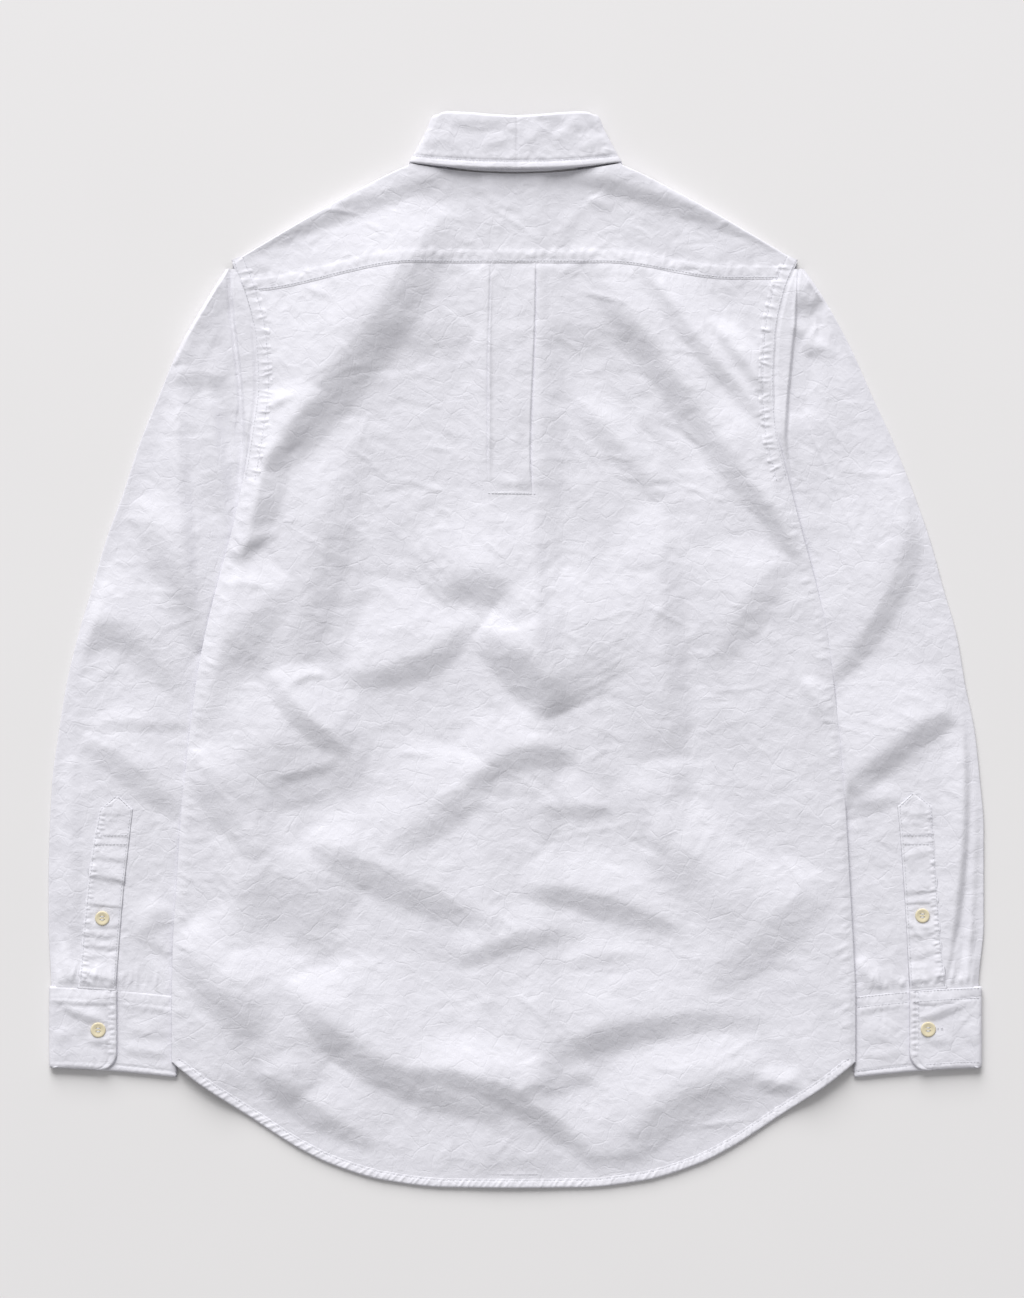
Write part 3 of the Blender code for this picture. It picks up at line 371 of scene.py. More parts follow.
# Folds of the back and yoke, each along the middle of its shaded flank: start, middle and end in
# plan, height, width of the shaded flank, width of the lit flank, and how crisp it is, from 0 to 1.
BACK_FOLDS = (
    (-46, 340, -118, 226, -192, 138, 13.2, 34, 80, 0.5),
    (-180, 164, -196, 112, -216, 66, 10.3, 25, 32, 0.5),
    (-224, 66, -206, 80, -184, 88, 2.2, 8, 12, 0.6),
    (-202, 181, -186, 190, -170, 197, 2, 5.5, 10, 0.6),
    (-206, 158, -194, 164, -184, 163, 0.8, 4.5, 9, 0.6),
    (-146, 200, -168, 170, -196, 138, 4.1, 17, 34, 0.4),
    (-114, 178, -146, 60, -172, -32, 7.1, 28, 90, 0.5),
    (-173, -29, -162, -22, -146, -22, 1.5, 4, 8, 0.7),
    (-172, 54, -206, 6, -244, -64, 5.5, 24, 72, 0.4),
    (-230, 46, -210, 50, -190, 44, 1, 5, 10, 0.6),
    (-196, -18, -168, -54, -130, -82, 5.8, 15, 36, 0.6),
    (-186, -100, -162, -97, -136, -84, 1.6, 7, 16, 0.6),
    (-186, -124, -162, -118, -138, -110, 0.9, 7, 14, 0.5),
    (-226, -120, -176, -96, -118, -100, 7.1, 56, 60, 0.3),
    (-214, -214, -172, -194, -128, -206, 4.9, 50, 50, 0.3),
    (-264, -82, -238, -118, -200, -166, 5.3, 19, 36, 0.4),
    (44, 316, 128, 194, 226, 62, 7.9, 20, 44, 0.5),
    (176, 132, 200, 100, 224, 64, 2.2, 16, 22, 0.4),
    (90, 306, 138, 240, 198, 172, 5.7, 13, 30, 0.5),
    (148, 258, 176, 222, 202, 190, 3.6, 9, 14, 0.5),
    (46, 286, 68, 262, 84, 240, 1.9, 18, 14, 0.3),
    (42, 198, 76, 156, 120, 108, 3.3, 15, 20, 0.4),
    (17, 112, 20, 50, 23, -16, 1.9, 9, 24, 0.5),
    (-56, 34, -26, 48, 6, 22, 6.4, 24, 60, 0.4),
    (-138, -21, -76, -15, -28, 26, 6.2, 20, 62, 0.6),
    (-32, 12, 4, -20, 26, -54, 12.5, 29, 90, 0.6),
    (46, -88, 4, -85, -38, -108, 5.5, 19, 34, 0.6),
    (-16, -92, -52, -130, -104, -158, 6.2, 23, 60, 0.5),
    (16, -124, 46, -127, 78, -125, 2.8, 12, 24, 0.5),
    (-164, -150, -100, -184, -12, -219, 6.6, 24, 54, 0.5),
    (-46, -250, -8, -231, 56, -221, 3.3, 14, 26, 0.4),
    (2, -188, 62, -199, 132, -223, 5.4, 19, 34, 0.6),
    (36, -247, 66, -241, 104, -240, 1.8, 9, 14, 0.4),
    (-272, -232, -246, -258, -206, -306, 6.2, 25, 60, 0.4),
    (-228, -236, -208, -300, -178, -356, 8.5, 32, 70, 0.3),
    (-204, -326, -166, -358, -108, -390, 5.3, 18, 36, 0.5),
    (-180, -258, -116, -324, -6, -368, 8.1, 22, 80, 0.5),
    (-84, -330, -8, -350, 70, -408, 6.6, 17, 34, 0.5),
    (-178, -150, -176, -200, -152, -246, 3.3, 28, 26, 0.3),
    (244, -174, 206, -222, 144, -266, 5.7, 30, 62, 0.4),
    (4, -350, 70, -305, 202, -290, 6.4, 21, 64, 0.4),
    (0, -346, 32, -340, 62, -332, 3.3, 14, 20, 0.4),
    (84, -408, 132, -358, 206, -338, 7.7, 34, 44, 0.4),
    (186, -338, 206, -343, 230, -353, 2.9, 10, 14, 0.6),
    (120, 118, 125, 10, 130, -100, 9, 20, 52, 0.6),
    (134, -84, 128, -118, 112, -158, 4, 18, 36, 0.5),
    (100, -160, 128, -176, 168, -222, 5.7, 38, 44, 0.4),
    (66, -20, 69, -60, 74, -116, 2.8, 16, 26, 0.3),
    (214, 72, 188, 30, 154, -16, 4.4, 20, 56, 0.5),
    (220, -22, 230, -40, 242, -58, 2.2, 10, 14, 0.4),
    (-222, 305, -150, 335, -52, 367, 4.5, 14, 70, 0.3),
    (40, 368, 112, 349, 208, 312, 4.5, 13, 70, 0.3),
    (56, 352, 62, 346, 76, 342, 1.6, 8, 10, 0.4),
    (32, 300, 40, 322, 50, 342, 0.8, 8, 12, 0.4),
)

# Bumps of the yoke beside the neck: x, y, rise; and how wide they are.
NECK_BUMPS = ((-72, 374, 1.8), (72, 373, 2.2))
NECK_BUMP = 13

# Thin creases of the back, where it was folded sharply, in the same columns.
BACK_CREASES = (
    (-131, 156, -118, 149, -104, 135, 0.6, 1.8, 3, 0.8),
    (-98, 200, -78, 193, -50, 187, 0.5, 1.8, 3, 0.8),
    (-75, 160, -60, 156, -44, 155, 0.6, 1.8, 3, 0.8),
    (-64, 110, -55, 107, -48, 104, 0.5, 1.6, 2.4, 0.8),
    (-68, 91, -60, 93, -50, 96, 0.5, 1.6, 2.4, 0.8),
    (-142, 242, -132, 232, -126, 216, 0.6, 2, 3.2, 0.8),
    (-152, 262, -144, 254, -138, 244, 0.4, 1.8, 3, 0.8),
    (-112, 186, -118, 172, -122, 156, 0.5, 1.8, 2.6, 0.8),
    (50, 278, 68, 274, 90, 268, 0.9, 2.2, 3.4, 0.8),
    (20, 246, 38, 240, 58, 226, 0.4, 1.8, 2.6, 0.8),
    (42, 185, 50, 190, 62, 193, 0.4, 1.6, 2.4, 0.8),
    (60, 153, 74, 150, 92, 147, 0.5, 1.8, 2.8, 0.8),
    (76, 138, 86, 133, 96, 132, 0.7, 2, 3, 0.8),
    (4, 45, 17, 39, 30, 26, 0.6, 1.7, 2.6, 0.8),
    (34, 18, 44, 9, 56, 4, 0.6, 1.7, 2.6, 0.8),
    (20, 72, 42, 77, 64, 72, 0.4, 1.6, 2.6, 0.8),
    (58, 20, 74, 25, 94, 30, 0.6, 1.7, 2.6, 0.8),
    (98, 36, 118, 25, 142, 14, 0.6, 2.2, 3.4, 0.8),
    (158, 40, 176, 30, 190, 20, 0.5, 1.7, 2.6, 0.8),
    (60, -60, 74, -66, 92, -76, 0.5, 1.7, 2.6, 0.8),
    (54, -88, 64, -82, 76, -77, 0.6, 1.8, 2.6, 0.8),
    (168, -58, 190, -78, 218, -98, 0.6, 1.8, 3, 0.8),
    (148, -30, 176, -32, 202, -24, 0.5, 1.7, 2.6, 0.8),
    (20, -150, 66, -141, 124, -130, 0.5, 1.8, 2.8, 0.8),
    (-130, -58, -127, -66, -118, -76, 0.5, 1.6, 2.4, 0.8),
    (-152, -240, -138, -230, -124, -216, 0.5, 1.8, 2.8, 0.8),
    (-72, -178, -52, -194, -28, -216, 0.5, 1.7, 2.6, 0.8),
    (-20, -192, -12, -208, 4, -222, 0.5, 1.8, 2.6, 0.8),
    (186, -140, 212, -170, 242, -208, 0.9, 1.8, 2.6, 0.8),
    (134, -374, 160, -370, 188, -366, 0.8, 2, 2.8, 0.8),
    (-66, -404, -52, -390, -44, -376, 0.6, 2, 3, 0.8),
    (-16, -398, -8, -386, 2, -378, 0.6, 2, 3, 0.8),
    (-56, -266, -44, -276, -34, -282, 0.4, 1.8, 2.8, 0.8),
    (104, -326, 124, -328, 142, -324, 0.5, 1.8, 2.8, 0.8),
    (-150, 342, -136, 341, -118, 337, 0.8, 2, 3, 0.8),
    (-122, 332, -110, 328, -101, 320, 0.6, 1.9, 2.8, 0.8),
    (84, 330, 98, 326, 104, 320, 0.5, 1.9, 2.8, 0.8),
    (156, 326, 162, 331, 168, 338, 0.6, 2, 2.8, 0.8),
)

# Folds of the sleeves, in the same columns.
LEFT_SLEEVE_FOLDS = (
    (-222, 302, -234, 270, -250, 220, 7.6, 27, 34, 0.4),
    (-276, 215, -250, 210, -222, 208, 2.9, 14, 26, 0.5),
    (-238, 206, -228, 155, -222, 96, 3.9, 10, 14, 0.3),
    (-260, 204, -256, 110, -248, 30, 4.2, 10, 18, 0.3),
    (-300, 116, -273, 60, -248, -4, 5.9, 20, 40, 0.4),
    (-352, -52, -322, 12, -264, -42, 5.2, 22, 40, 0.4),
    (-336, -58, -292, -60, -250, -60, 1.6, 8, 26, 0.4),
    (-340, -72, -302, -97, -258, -134, 4.5, 19, 40, 0.5),
    (-342, -78, -342, -150, -340, -238, 2.4, 9, 14, 0.4),
    (-292, -228, -280, -214, -266, -202, 2.4, 14, 18, 0.4),
    (-288, -224, -278, -231, -268, -236, 1.2, 6, 12, 0.4),
    (-358, -224, -354, -244, -350, -262, 1.6, 5, 6, 0.5),
    (-350, -214, -345, -238, -344, -262, 1.3, 4, 5, 0.5),
)
RIGHT_SLEEVE_FOLDS = (
    (228, 300, 236, 282, 252, 266, 2.6, 12, 24, 0.5),
    (205, 267, 216, 270, 231, 261, 4.4, 17, 40, 0.5),
    (210, 250, 219, 247, 226, 238, 1.9, 9, 14, 0.5),
    (222, 236, 232, 233, 242, 234, 1.6, 8, 30, 0.4),
    (220, 236, 234, 230, 250, 228, 1.8, 12, 22, 0.4),
    (252, 252, 262, 232, 272, 212, 1.5, 7, 10, 0.3),
    (308, 156, 302, 56, 236, -36, 6.2, 17, 60, 0.5),
    (346, -52, 300, -79, 234, -138, 6.5, 18, 60, 0.5),
    (246, -128, 270, -124, 304, -117, 2.2, 11, 20, 0.6),
    (350, -40, 350, -160, 334, -262, 4.8, 5, 20, 0.5),
    (362, -80, 361, -160, 352, -256, 2.3, 4, 7, 0.4),
    (360, -206, 358, -230, 355, -260, 1.7, 5, 6, 0.5),
    (262, -236, 272, -250, 288, -262, 1.8, 8, 10, 0.5),
    (348, -222, 345, -240, 340, -262, 1.5, 5, 6, 0.5),
    (224, 180, 250, 122, 280, 46, 0.7, 1.8, 2.6, 0.8),
)

# A dent of the right sleeve: x, y, depth, width, length.
RIGHT_SLEEVE_DENT = (261, -118, 2, 7, 15)

# Where the light comes from in plan. It says which flank of a fold is the lit one.
LIGHT_PLAN = (-0.2, 1)

# Materials: the shader's inputs, the noise by which the tone drifts, the two tones, and between
# which values of the noise it drifts, where that isn't 0 to 1.
LOOKS = {
    "oxford_cloth": (
        {"Roughness": 0.86, "Sheen Weight": 0.12, "Sheen Roughness": 0.5, "Specular IOR Level": 0.25},
        {"Scale": 38, "Detail": 5, "Roughness": 0.62},
        (0.712, 0.703, 0.757), (0.742, 0.734, 0.788), 0.35, 0.68,
    ),
    "sewing_thread": (
        {"Roughness": 0.7},
        {"Scale": 900, "Detail": 2},
        (0.69, 0.69, 0.73), (0.77, 0.77, 0.81),
    ),
    "button_plastic": (
        {"Roughness": 0.3, "Coat Weight": 0.3, "Coat Roughness": 0.2},
        {"Scale": 260, "Detail": 3},
        (0.67, 0.585, 0.39), (0.77, 0.695, 0.51),
    ),
    "pale_floor": (
        {"Roughness": 0.9},
        {"Scale": 6, "Detail": 4},
        (0.760, 0.747, 0.751), (0.778, 0.765, 0.769),
    ),
}

# The materials that need no more than their row of LOOKS.
PLAIN_LOOKS = ("sewing_thread", "button_plastic", "pale_floor")

# The cloth's bump, coarse to fine, each with its strength and its depth in metres. Crumple: scale,
# detail, seed, stretch. Creases: scale, width, seed.
CRUMPLE_BUMPS = (((42, 2, 0.7, 1.2), (0.5, 0.00036)), ((110, 1.5, 2.9, 1.1), (0.5, 0.00014)))
CREASE_BUMPS = (((62, 0.07, 1.3), (0.4, 0.00027)), ((125, 0.1, 4.1), (0.35, 0.00017)))
NOISE_BUMPS = (
    ({"Scale": 210, "Detail": 3, "Roughness": 0.6}, (0.6, 0.00034)),
    ({"Scale": 620, "Detail": 3, "Roughness": 0.6}, (0.6, 0.0002)),
)
WEAVE = {"Scale": 700, "Distortion": 0.4}
WEAVE_BUMP = (0.5, 0.00006)

# How the creases' coordinates wander, how far in metres, and how noise lets some creases show.
WANDER = {"Scale": 55, "Detail": 2, "Roughness": 0.5}
WANDER_REACH = 0.011
CREASES_SHOWN = {"From Min": 0.42, "From Max": 0.62, "To Min": 1, "To Max": -0.6}

# What each piece of cloth lies on, where that is other cloth.
RESTS_ON = {
    "back": ("front_left", "front_right", "front_placket"),
    "yoke": ("back",),
    "collar_fall": ("collar_stand",),
    "sleeve_placket_left": ("sleeve_left",),
    "sleeve_placket_right": ("sleeve_right",),
}

# Seeded wear of each kind of cloth. Swells and crumple: cell, height. Creases: how many, then the
# least and the greatest length, height and width.
WEAR = {
    "body": (
        ((90, 0.7), (45, 0.5)),
        ((34, 0.45), (17, 0.3), (8, 0.12)),
        ((260, (18, 60), (0.15, 0.6), (1.8, 4.5)), (1100, (8, 30), (0.08, 0.34), (1.2, 2.2))),
    ),
    "sleeve": (
        ((60, 0.7),),
        ((38, 0.5), (19, 0.3), (9, 0.15)),
        ((90, (15, 50), (0.15, 0.5), (1.8, 4)), (300, (8, 26), (0.06, 0.24), (1.2, 2.2))),
    ),
    "front": ((), ((50, 0.5),), ((220, (20, 70), (0.2, 0.7), (2.5, 5)),)),
    "cuff": (((26, 0.3), (11, 0.18)), (), ((26, (6, 20), (0.1, 0.4), (1, 2.2)),)),
    "sleeve_placket": ((), (), ((40, (5, 16), (0.1, 0.4), (1, 2)),)),
    "collar": (((30, 0.5), (12, 0.2)), ((9, 0.12),), ((30, (8, 24), (0.1, 0.4), (1.2, 2.4)),)),
}

# How crisp the scattered creases are, how far crumple wanders in shares of its cell, and how
# unevenly puckers turn, in radians.
CREASE_CRISP = 0.6
CRUMPLE_BEND = 0.35
PUCKER_TURN = 0.22

# Puckers beside each seam: the least and the greatest spacing, height and length.
PUCKERS = {
    "yoke": ((5, 9), (0.5, 1.1), (5, 12)),
    "under_yoke": ((7, 15), (0.3, 0.8), (6, 18)),
    "armhole": ((5, 11), (0.3, 0.8), (3, 9)),
    "side": ((5, 14), (0.3, 1), (5, 13)),
    "tail": ((6, 14), (0.3, 0.7), (5, 13)),
    "wrist": ((4, 9), (0.5, 1.3), (7, 20)),
    "cuff_top": ((4, 9), (0.15, 0.4), (6, 9)),
    "cuff_row": ((3, 7), (0.1, 0.45), (3, 9)),
    "cuff_edge": ((3, 5.2), (0.15, 0.4), (3, 4.6)),
    "cuff_end": ((3.4, 5.2), (0.6, 1.1), (5, 6.5)),
    "beside_cuff_end": ((3, 6), (0.1, 0.4), (2, 5)),
    "sleeve_placket": ((2.4, 5), (0.3, 0.8), (3, 7)),
    "collar": ((3, 7), (0.2, 0.6), (3, 8)),
}

# Sewn bands in section: way in from the line, rise over the surface, share of the puckers.
ARMHOLE_SECTION = (
    (0, -0.5, 0), (0.15, 0.1, 0), (0.7, 0.5, 0), (1.8, 0.6, 0.1), (3.2, 0.65, 0.2),
    (4.6, 0.65, 0.5), (6, 0.65, 0.8), (7.2, 0.6, 1), (8.2, 0.45, 1), (8.8, 0.25, 1),
    (9.3, 0.1, 1), (9.9, 0.2, 1), (10.8, 0.25, 0.9), (11.8, 0.2, 0.7), (12.8, -0.2, 0.4),
)
TAIL_SECTION = (
    (3, -1.4, 0), (0.5, -1.2, 0), (0, -0.4, 0.2), (0.15, 0.3, 0.4), (0.6, 0.75, 0.7), (1.4, 0.9, 1),
    (2.4, 0.8, 1), (3.4, 0.68, 1), (4.4, 0.55, 1), (5.2, 0.38, 0.9), (5.8, 0.05, 0.8),
    (6.3, 0.15, 0.6), (6.8, 0.2, 0.4), (7.3, -0.15, 0.2),
)
TUCK_SECTION = ((0, -0.3, 0), (0.3, 0.05, 0), (1.2, 0.12, 0), (2.6, 0.05, 0), (4.4, -0.4, 0))

# Puckers of the bands: least and greatest spacing and height, and slant.
ARMHOLE_PUCKERS = ((4, 8), (0.3, 0.8), 0)
TAIL_PUCKERS = ((3, 7.5), (0.15, 0.75), 0.7)

# A stitch in rings of points: way along, rise and thickness. Rows of stitches draw a slab in, over
# this width on both sides.
STITCH_RINGS = ((-0.5, -0.9, 0.35), (-0.3, 0.25, 0.9), (0, 0.5, 1), (0.3, 0.25, 0.9), (0.5, -0.9, 0.35))
STITCH_SIDES = 5
GROOVE_WIDTH = 0.8

# The studio: millimetres in a pixel of the photo, the picture's middle and the shirt's origin in
# pixels, the lens in millimetres, heights, sizes and places in metres, and power in watts. The floor
# is in millimetres.
PHOTO_SCALE = 0.78
PICTURE_MIDDLE = (512, 649)
SHIRT_CENTRE = (515.5, 650)
LENS = 177.8
CAMERA_HEIGHT = 5
LAMP_SIZE = 13
LAMP_POWER = 4500
LAMP_PLACE = (-3, 15.1, 9.3)
BACKGROUND_STRENGTH = 0.4
FLOOR_HALF = 6000

# Buttons, and the cloth that each one seen is sunk into.
BUTTONS = {
    "cuff_button_left": "cuff_left",
    "cuff_button_right": "cuff_right",
    "placket_button_left": "sleeve_placket_left",
    "placket_button_right": "sleeve_placket_right",
}
BUTTONS.update((f"front_button_{number}", None) for number in range(1, 8))

# The sleeve's head beside the armhole: y, how far its rolled ridge reaches from the seam, how deep
# the sleeve dips past it on the left and on the right, and the depth of the furrow between.
SLEEVE_HEAD = (
    (305, 0, 0, 0, 0.8),
    (292, 5, 0.6, 3.4, 1.2),
    (275, 10, 0.6, 4.6, 1.6),
    (250, 14, 0.6, 4.2, 1.6),
    (215, 12.5, 0.6, 3.4, 1.6),
    (190, 9.5, 1, 2.8, 2),
    (180, 8, 1.8, 1.8, 3),
    (160, 5, 2.2, 0.9, 3),
    (146, 3, 1.4, 0.5, 1.6),
    (110, 0, 0.6, 0, 0.6),
    (90, 0, 0, 0, 0),
)

# The two sides, which are also their columns in the tables of edges, and the sign of X on each.
LEFT, RIGHT = 1, 2
SIGN = {LEFT: -1, RIGHT: 1}
SIDE_NAME = {LEFT: "left", RIGHT: "right"}

# Where each cuff's overlap ends, from the centre line, and how high the sleeve's ridge is.
CUFF_OVERLAP_END = {LEFT: 310.5, RIGHT: 307}
HEAD_RIDGE = {LEFT: 2, RIGHT: 2.4}


def smooth_step(low, high, value):
    """0 below low, 1 above high, with a soft S between. low may be the greater one."""
    share = np.clip((np.asarray(value, float) - low) / (high - low), 0, 1)
    return share * share * (3 - 2 * share)


def between(low, low_full, high_full, high, value):
    """1 between low_full and high_full, fading to 0 at low and at high."""
    return smooth_step(low, low_full, value) * smooth_step(high, high_full, value)


def bell(value, width):
    """1 where value is 0, falling away on both sides."""
    return np.exp(-(value / width) ** 2)


def way_along(points):
    """How far along a line each of its points lies."""
    return np.concatenate(([0], np.cumsum(np.linalg.norm(np.diff(points, axis=0), axis=1))))


def point_at(line, at, place):
    """The point at one place along a line, whose own points lie at the places in at."""
    return np.array([np.interp(place, at, column) for column in line.T])


def curve_through(table, column):
    """A smooth function of the table's first column through one other column, with no overshoot."""
    rows = sorted(table, key=lambda row: row[0])
    keys = np.array([row[0] for row in rows])
    values = np.array([row[column] for row in rows])
    runs = np.diff(values) / np.diff(keys)
    product = runs[:-1] * runs[1:]
    total = np.where(product > 0, runs[:-1] + runs[1:], 1)
    inner = np.where(product > 0, 2 * product / total, 0)
    slopes = np.concatenate((runs[:1], inner, runs[-1:]))

    def read(at):
        at = np.clip(np.asarray(at, float), keys[0], keys[-1])
        index = np.clip(np.searchsorted(keys, at) - 1, 0, len(keys) - 2)
        step = keys[index + 1] - keys[index]
        part = (at - keys[index]) / step
        rise = values[index + 1] - values[index]
        start = step * slopes[index] - rise
        end = rise - step * slopes[index + 1]
        bend = part * (1 - part) * (start * (1 - part) + end * part)
        return values[index] + rise * part + bend

    return read


EDGE = {LEFT: curve_through(BODY_EDGES, LEFT), RIGHT: curve_through(BODY_EDGES, RIGHT)}
OUTER = {LEFT: curve_through(SLEEVE_OUTER, LEFT), RIGHT: curve_through(SLEEVE_OUTER, RIGHT)}
HEM_CURVE = curve_through(HEM, 1)
INNER = curve_through(TUCK, 1)
LIFT_FROM = curve_through(TUCK, 2)
LIFT = curve_through(TUCK, 3)
PLEAT_EDGE = {LEFT: curve_through(PLEAT, 1), RIGHT: curve_through(PLEAT, 2)}
HEAD_REACH = curve_through(SLEEVE_HEAD, 1)
HEAD_DIP = {LEFT: curve_through(SLEEVE_HEAD, 2), RIGHT: curve_through(SLEEVE_HEAD, 3)}
HEAD_FURROW = curve_through(SLEEVE_HEAD, 4)


def edge_distance(x, y):
    """Distance in X from a point inside the body to the nearer side edge."""
    x = np.asarray(x, float)
    return np.where(x < 0, EDGE[LEFT](y) + x, EDGE[RIGHT](y) - x)


def shoulder_y(x):
    """Plan of the shoulder fold line, from the neck side to the shoulder point."""
    share = np.clip((np.abs(x) - NECK_SIDE[0]) / (SHOULDER_POINT[0] - NECK_SIDE[0]), 0, 1)
    return NECK_SIDE[1] - (NECK_SIDE[1] - SHOULDER_POINT[1]) * share ** SHOULDER_RISE_POWER


def back_neck_y(x):
    """The yoke's neck edge, which dips at the centre back."""
    return BACK_NECK_Y + BACK_NECK_DIP * (np.abs(x) / NECK_SIDE[0]) ** 2


def front_neck_y(x):
    """The fronts' neck edge, a half ellipse."""
    share = np.clip(np.abs(x) / FRONT_NECK_HALF, 0, 1)
    return FRONT_NECK_CENTRE_Y - FRONT_NECK_DROP * np.sqrt(1 - share ** 2)


def yoke_seam_y(x):
    """The seam between yoke and back, level in the middle and dropping to the armholes."""
    left = (YOKE_SEAM_CENTRE_Y - YOKE_SEAM_END_Y) * smooth_step(78, 212, -np.asarray(x, float))
    right = (YOKE_SEAM_CENTRE_Y - YOKE_SEAM_RIGHT_Y) * smooth_step(70, 168, x)
    return YOKE_SEAM_CENTRE_Y - left - right


def hem_y(x):
    """The curved tail: steep at the side corners and level at the centre."""
    left, right = EDGE[LEFT](HEM_CORNER_Y), EDGE[RIGHT](HEM_CORNER_Y)
    return HEM_CURVE(np.where(np.asarray(x) < 0, -np.asarray(x) / left, np.asarray(x) / right))


def tuck_lift(x, y):
    """Rise of the body's layers over the sleeves that lie under its sides."""
    start = LIFT_FROM(y)
    return LIFT(y) * smooth_step(start - LIFT_RAMP, start, np.abs(x))


def placket_lift(x, y, height):
    """Rise along the centre front, where the placket lies on its buttons."""
    outside = np.maximum(PLACKET_LEFT - x, x - PLACKET_RIGHT)
    return height * smooth_step(PLACKET_RAMP, 0, outside) * (1 - 0.6 * smooth_step(-320, -395, y))


def collar_lift(x, y):
    """Rise around the neck, where the collar's front lies underneath."""
    across = smooth_step(COLLAR_LIFT_X + COLLAR_LIFT_RAMP, COLLAR_LIFT_X, np.abs(x))
    return COLLAR_LIFT * across * smooth_step(COLLAR_LIFT_Y - COLLAR_LIFT_RAMP, COLLAR_LIFT_Y, y)


def front_height(x, y):
    """Middle of the fronts' wall: flat on the floor, and lifted over what lies below."""
    lift = np.maximum(placket_lift(x, y, PLACKET_LIFT), collar_lift(x, y))
    return FLOOR_LAYER + np.maximum(lift, tuck_lift(x, y))


def back_base(x, y):
    """Middle of the back's wall, without its folds."""
    over_underlap = FLOOR_LAYER + placket_lift(x, y, PLACKET_LIFT + UNDERLAP_RISE)
    return np.maximum(front_height(x, y), over_underlap) + BACK_OVER_FRONT


def cuff_drop(share):
    """How far the cuff slants down from its outer edge, share 0, to its inner edge, share 1."""
    return CUFF_SLANT * np.clip(share, 0, 2) ** 1.5


def cuff_top_y(far):
    """The cuff's sewn edge in plan, at distances from the centre line."""
    return CUFF_TOP_Y - cuff_drop((CUFF_OUTER - far) / CUFF_WIDTH)


def sleeve_slant(y, share):
    """How far a row of the sleeve slants down, at shares of its width from the outer edge."""
    return smooth_step(SLANT_START_Y, CUFF_TOP_Y, y) * cuff_drop(share)


def gradient_noise(rng, x, y, cell):
    """Smooth noise from about -1 to 1, with features as large as cell."""
    u, v = (x - x.min()) / cell, (y - y.min()) / cell
    i, j = u.astype(int), v.astype(int)
    angle = rng.uniform(0, 2 * math.pi, (j.max() + 2, i.max() + 2))
    slope_x, slope_y = np.cos(angle), np.sin(angle)
    part_u, part_v = u - i, v - j
    ease_u = part_u ** 3 * (part_u * (part_u * 6 - 15) + 10)
    ease_v = part_v ** 3 * (part_v * (part_v * 6 - 15) + 10)

    def corner(di, dj):
        return slope_x[j + dj, i + di] * (part_u - di) + slope_y[j + dj, i + di] * (part_v - dj)

    near = corner(0, 0) * (1 - ease_u) + corner(1, 0) * ease_u
    far = corner(0, 1) * (1 - ease_u) + corner(1, 1) * ease_u
    return 1.5 * (near * (1 - ease_v) + far * ease_v)


def ridge_profile(rise, fall, rounding):
    """A ridge of height 1 from two straight flanks, rounded at its crest and at its feet."""
    under = 0.5 * (rise + fall - np.sqrt((rise - fall) ** 2 + rounding ** 2))
    return 0.5 * (under + np.sqrt(under ** 2 + (0.4 * rounding) ** 2)) / (1 - 0.4 * rounding)


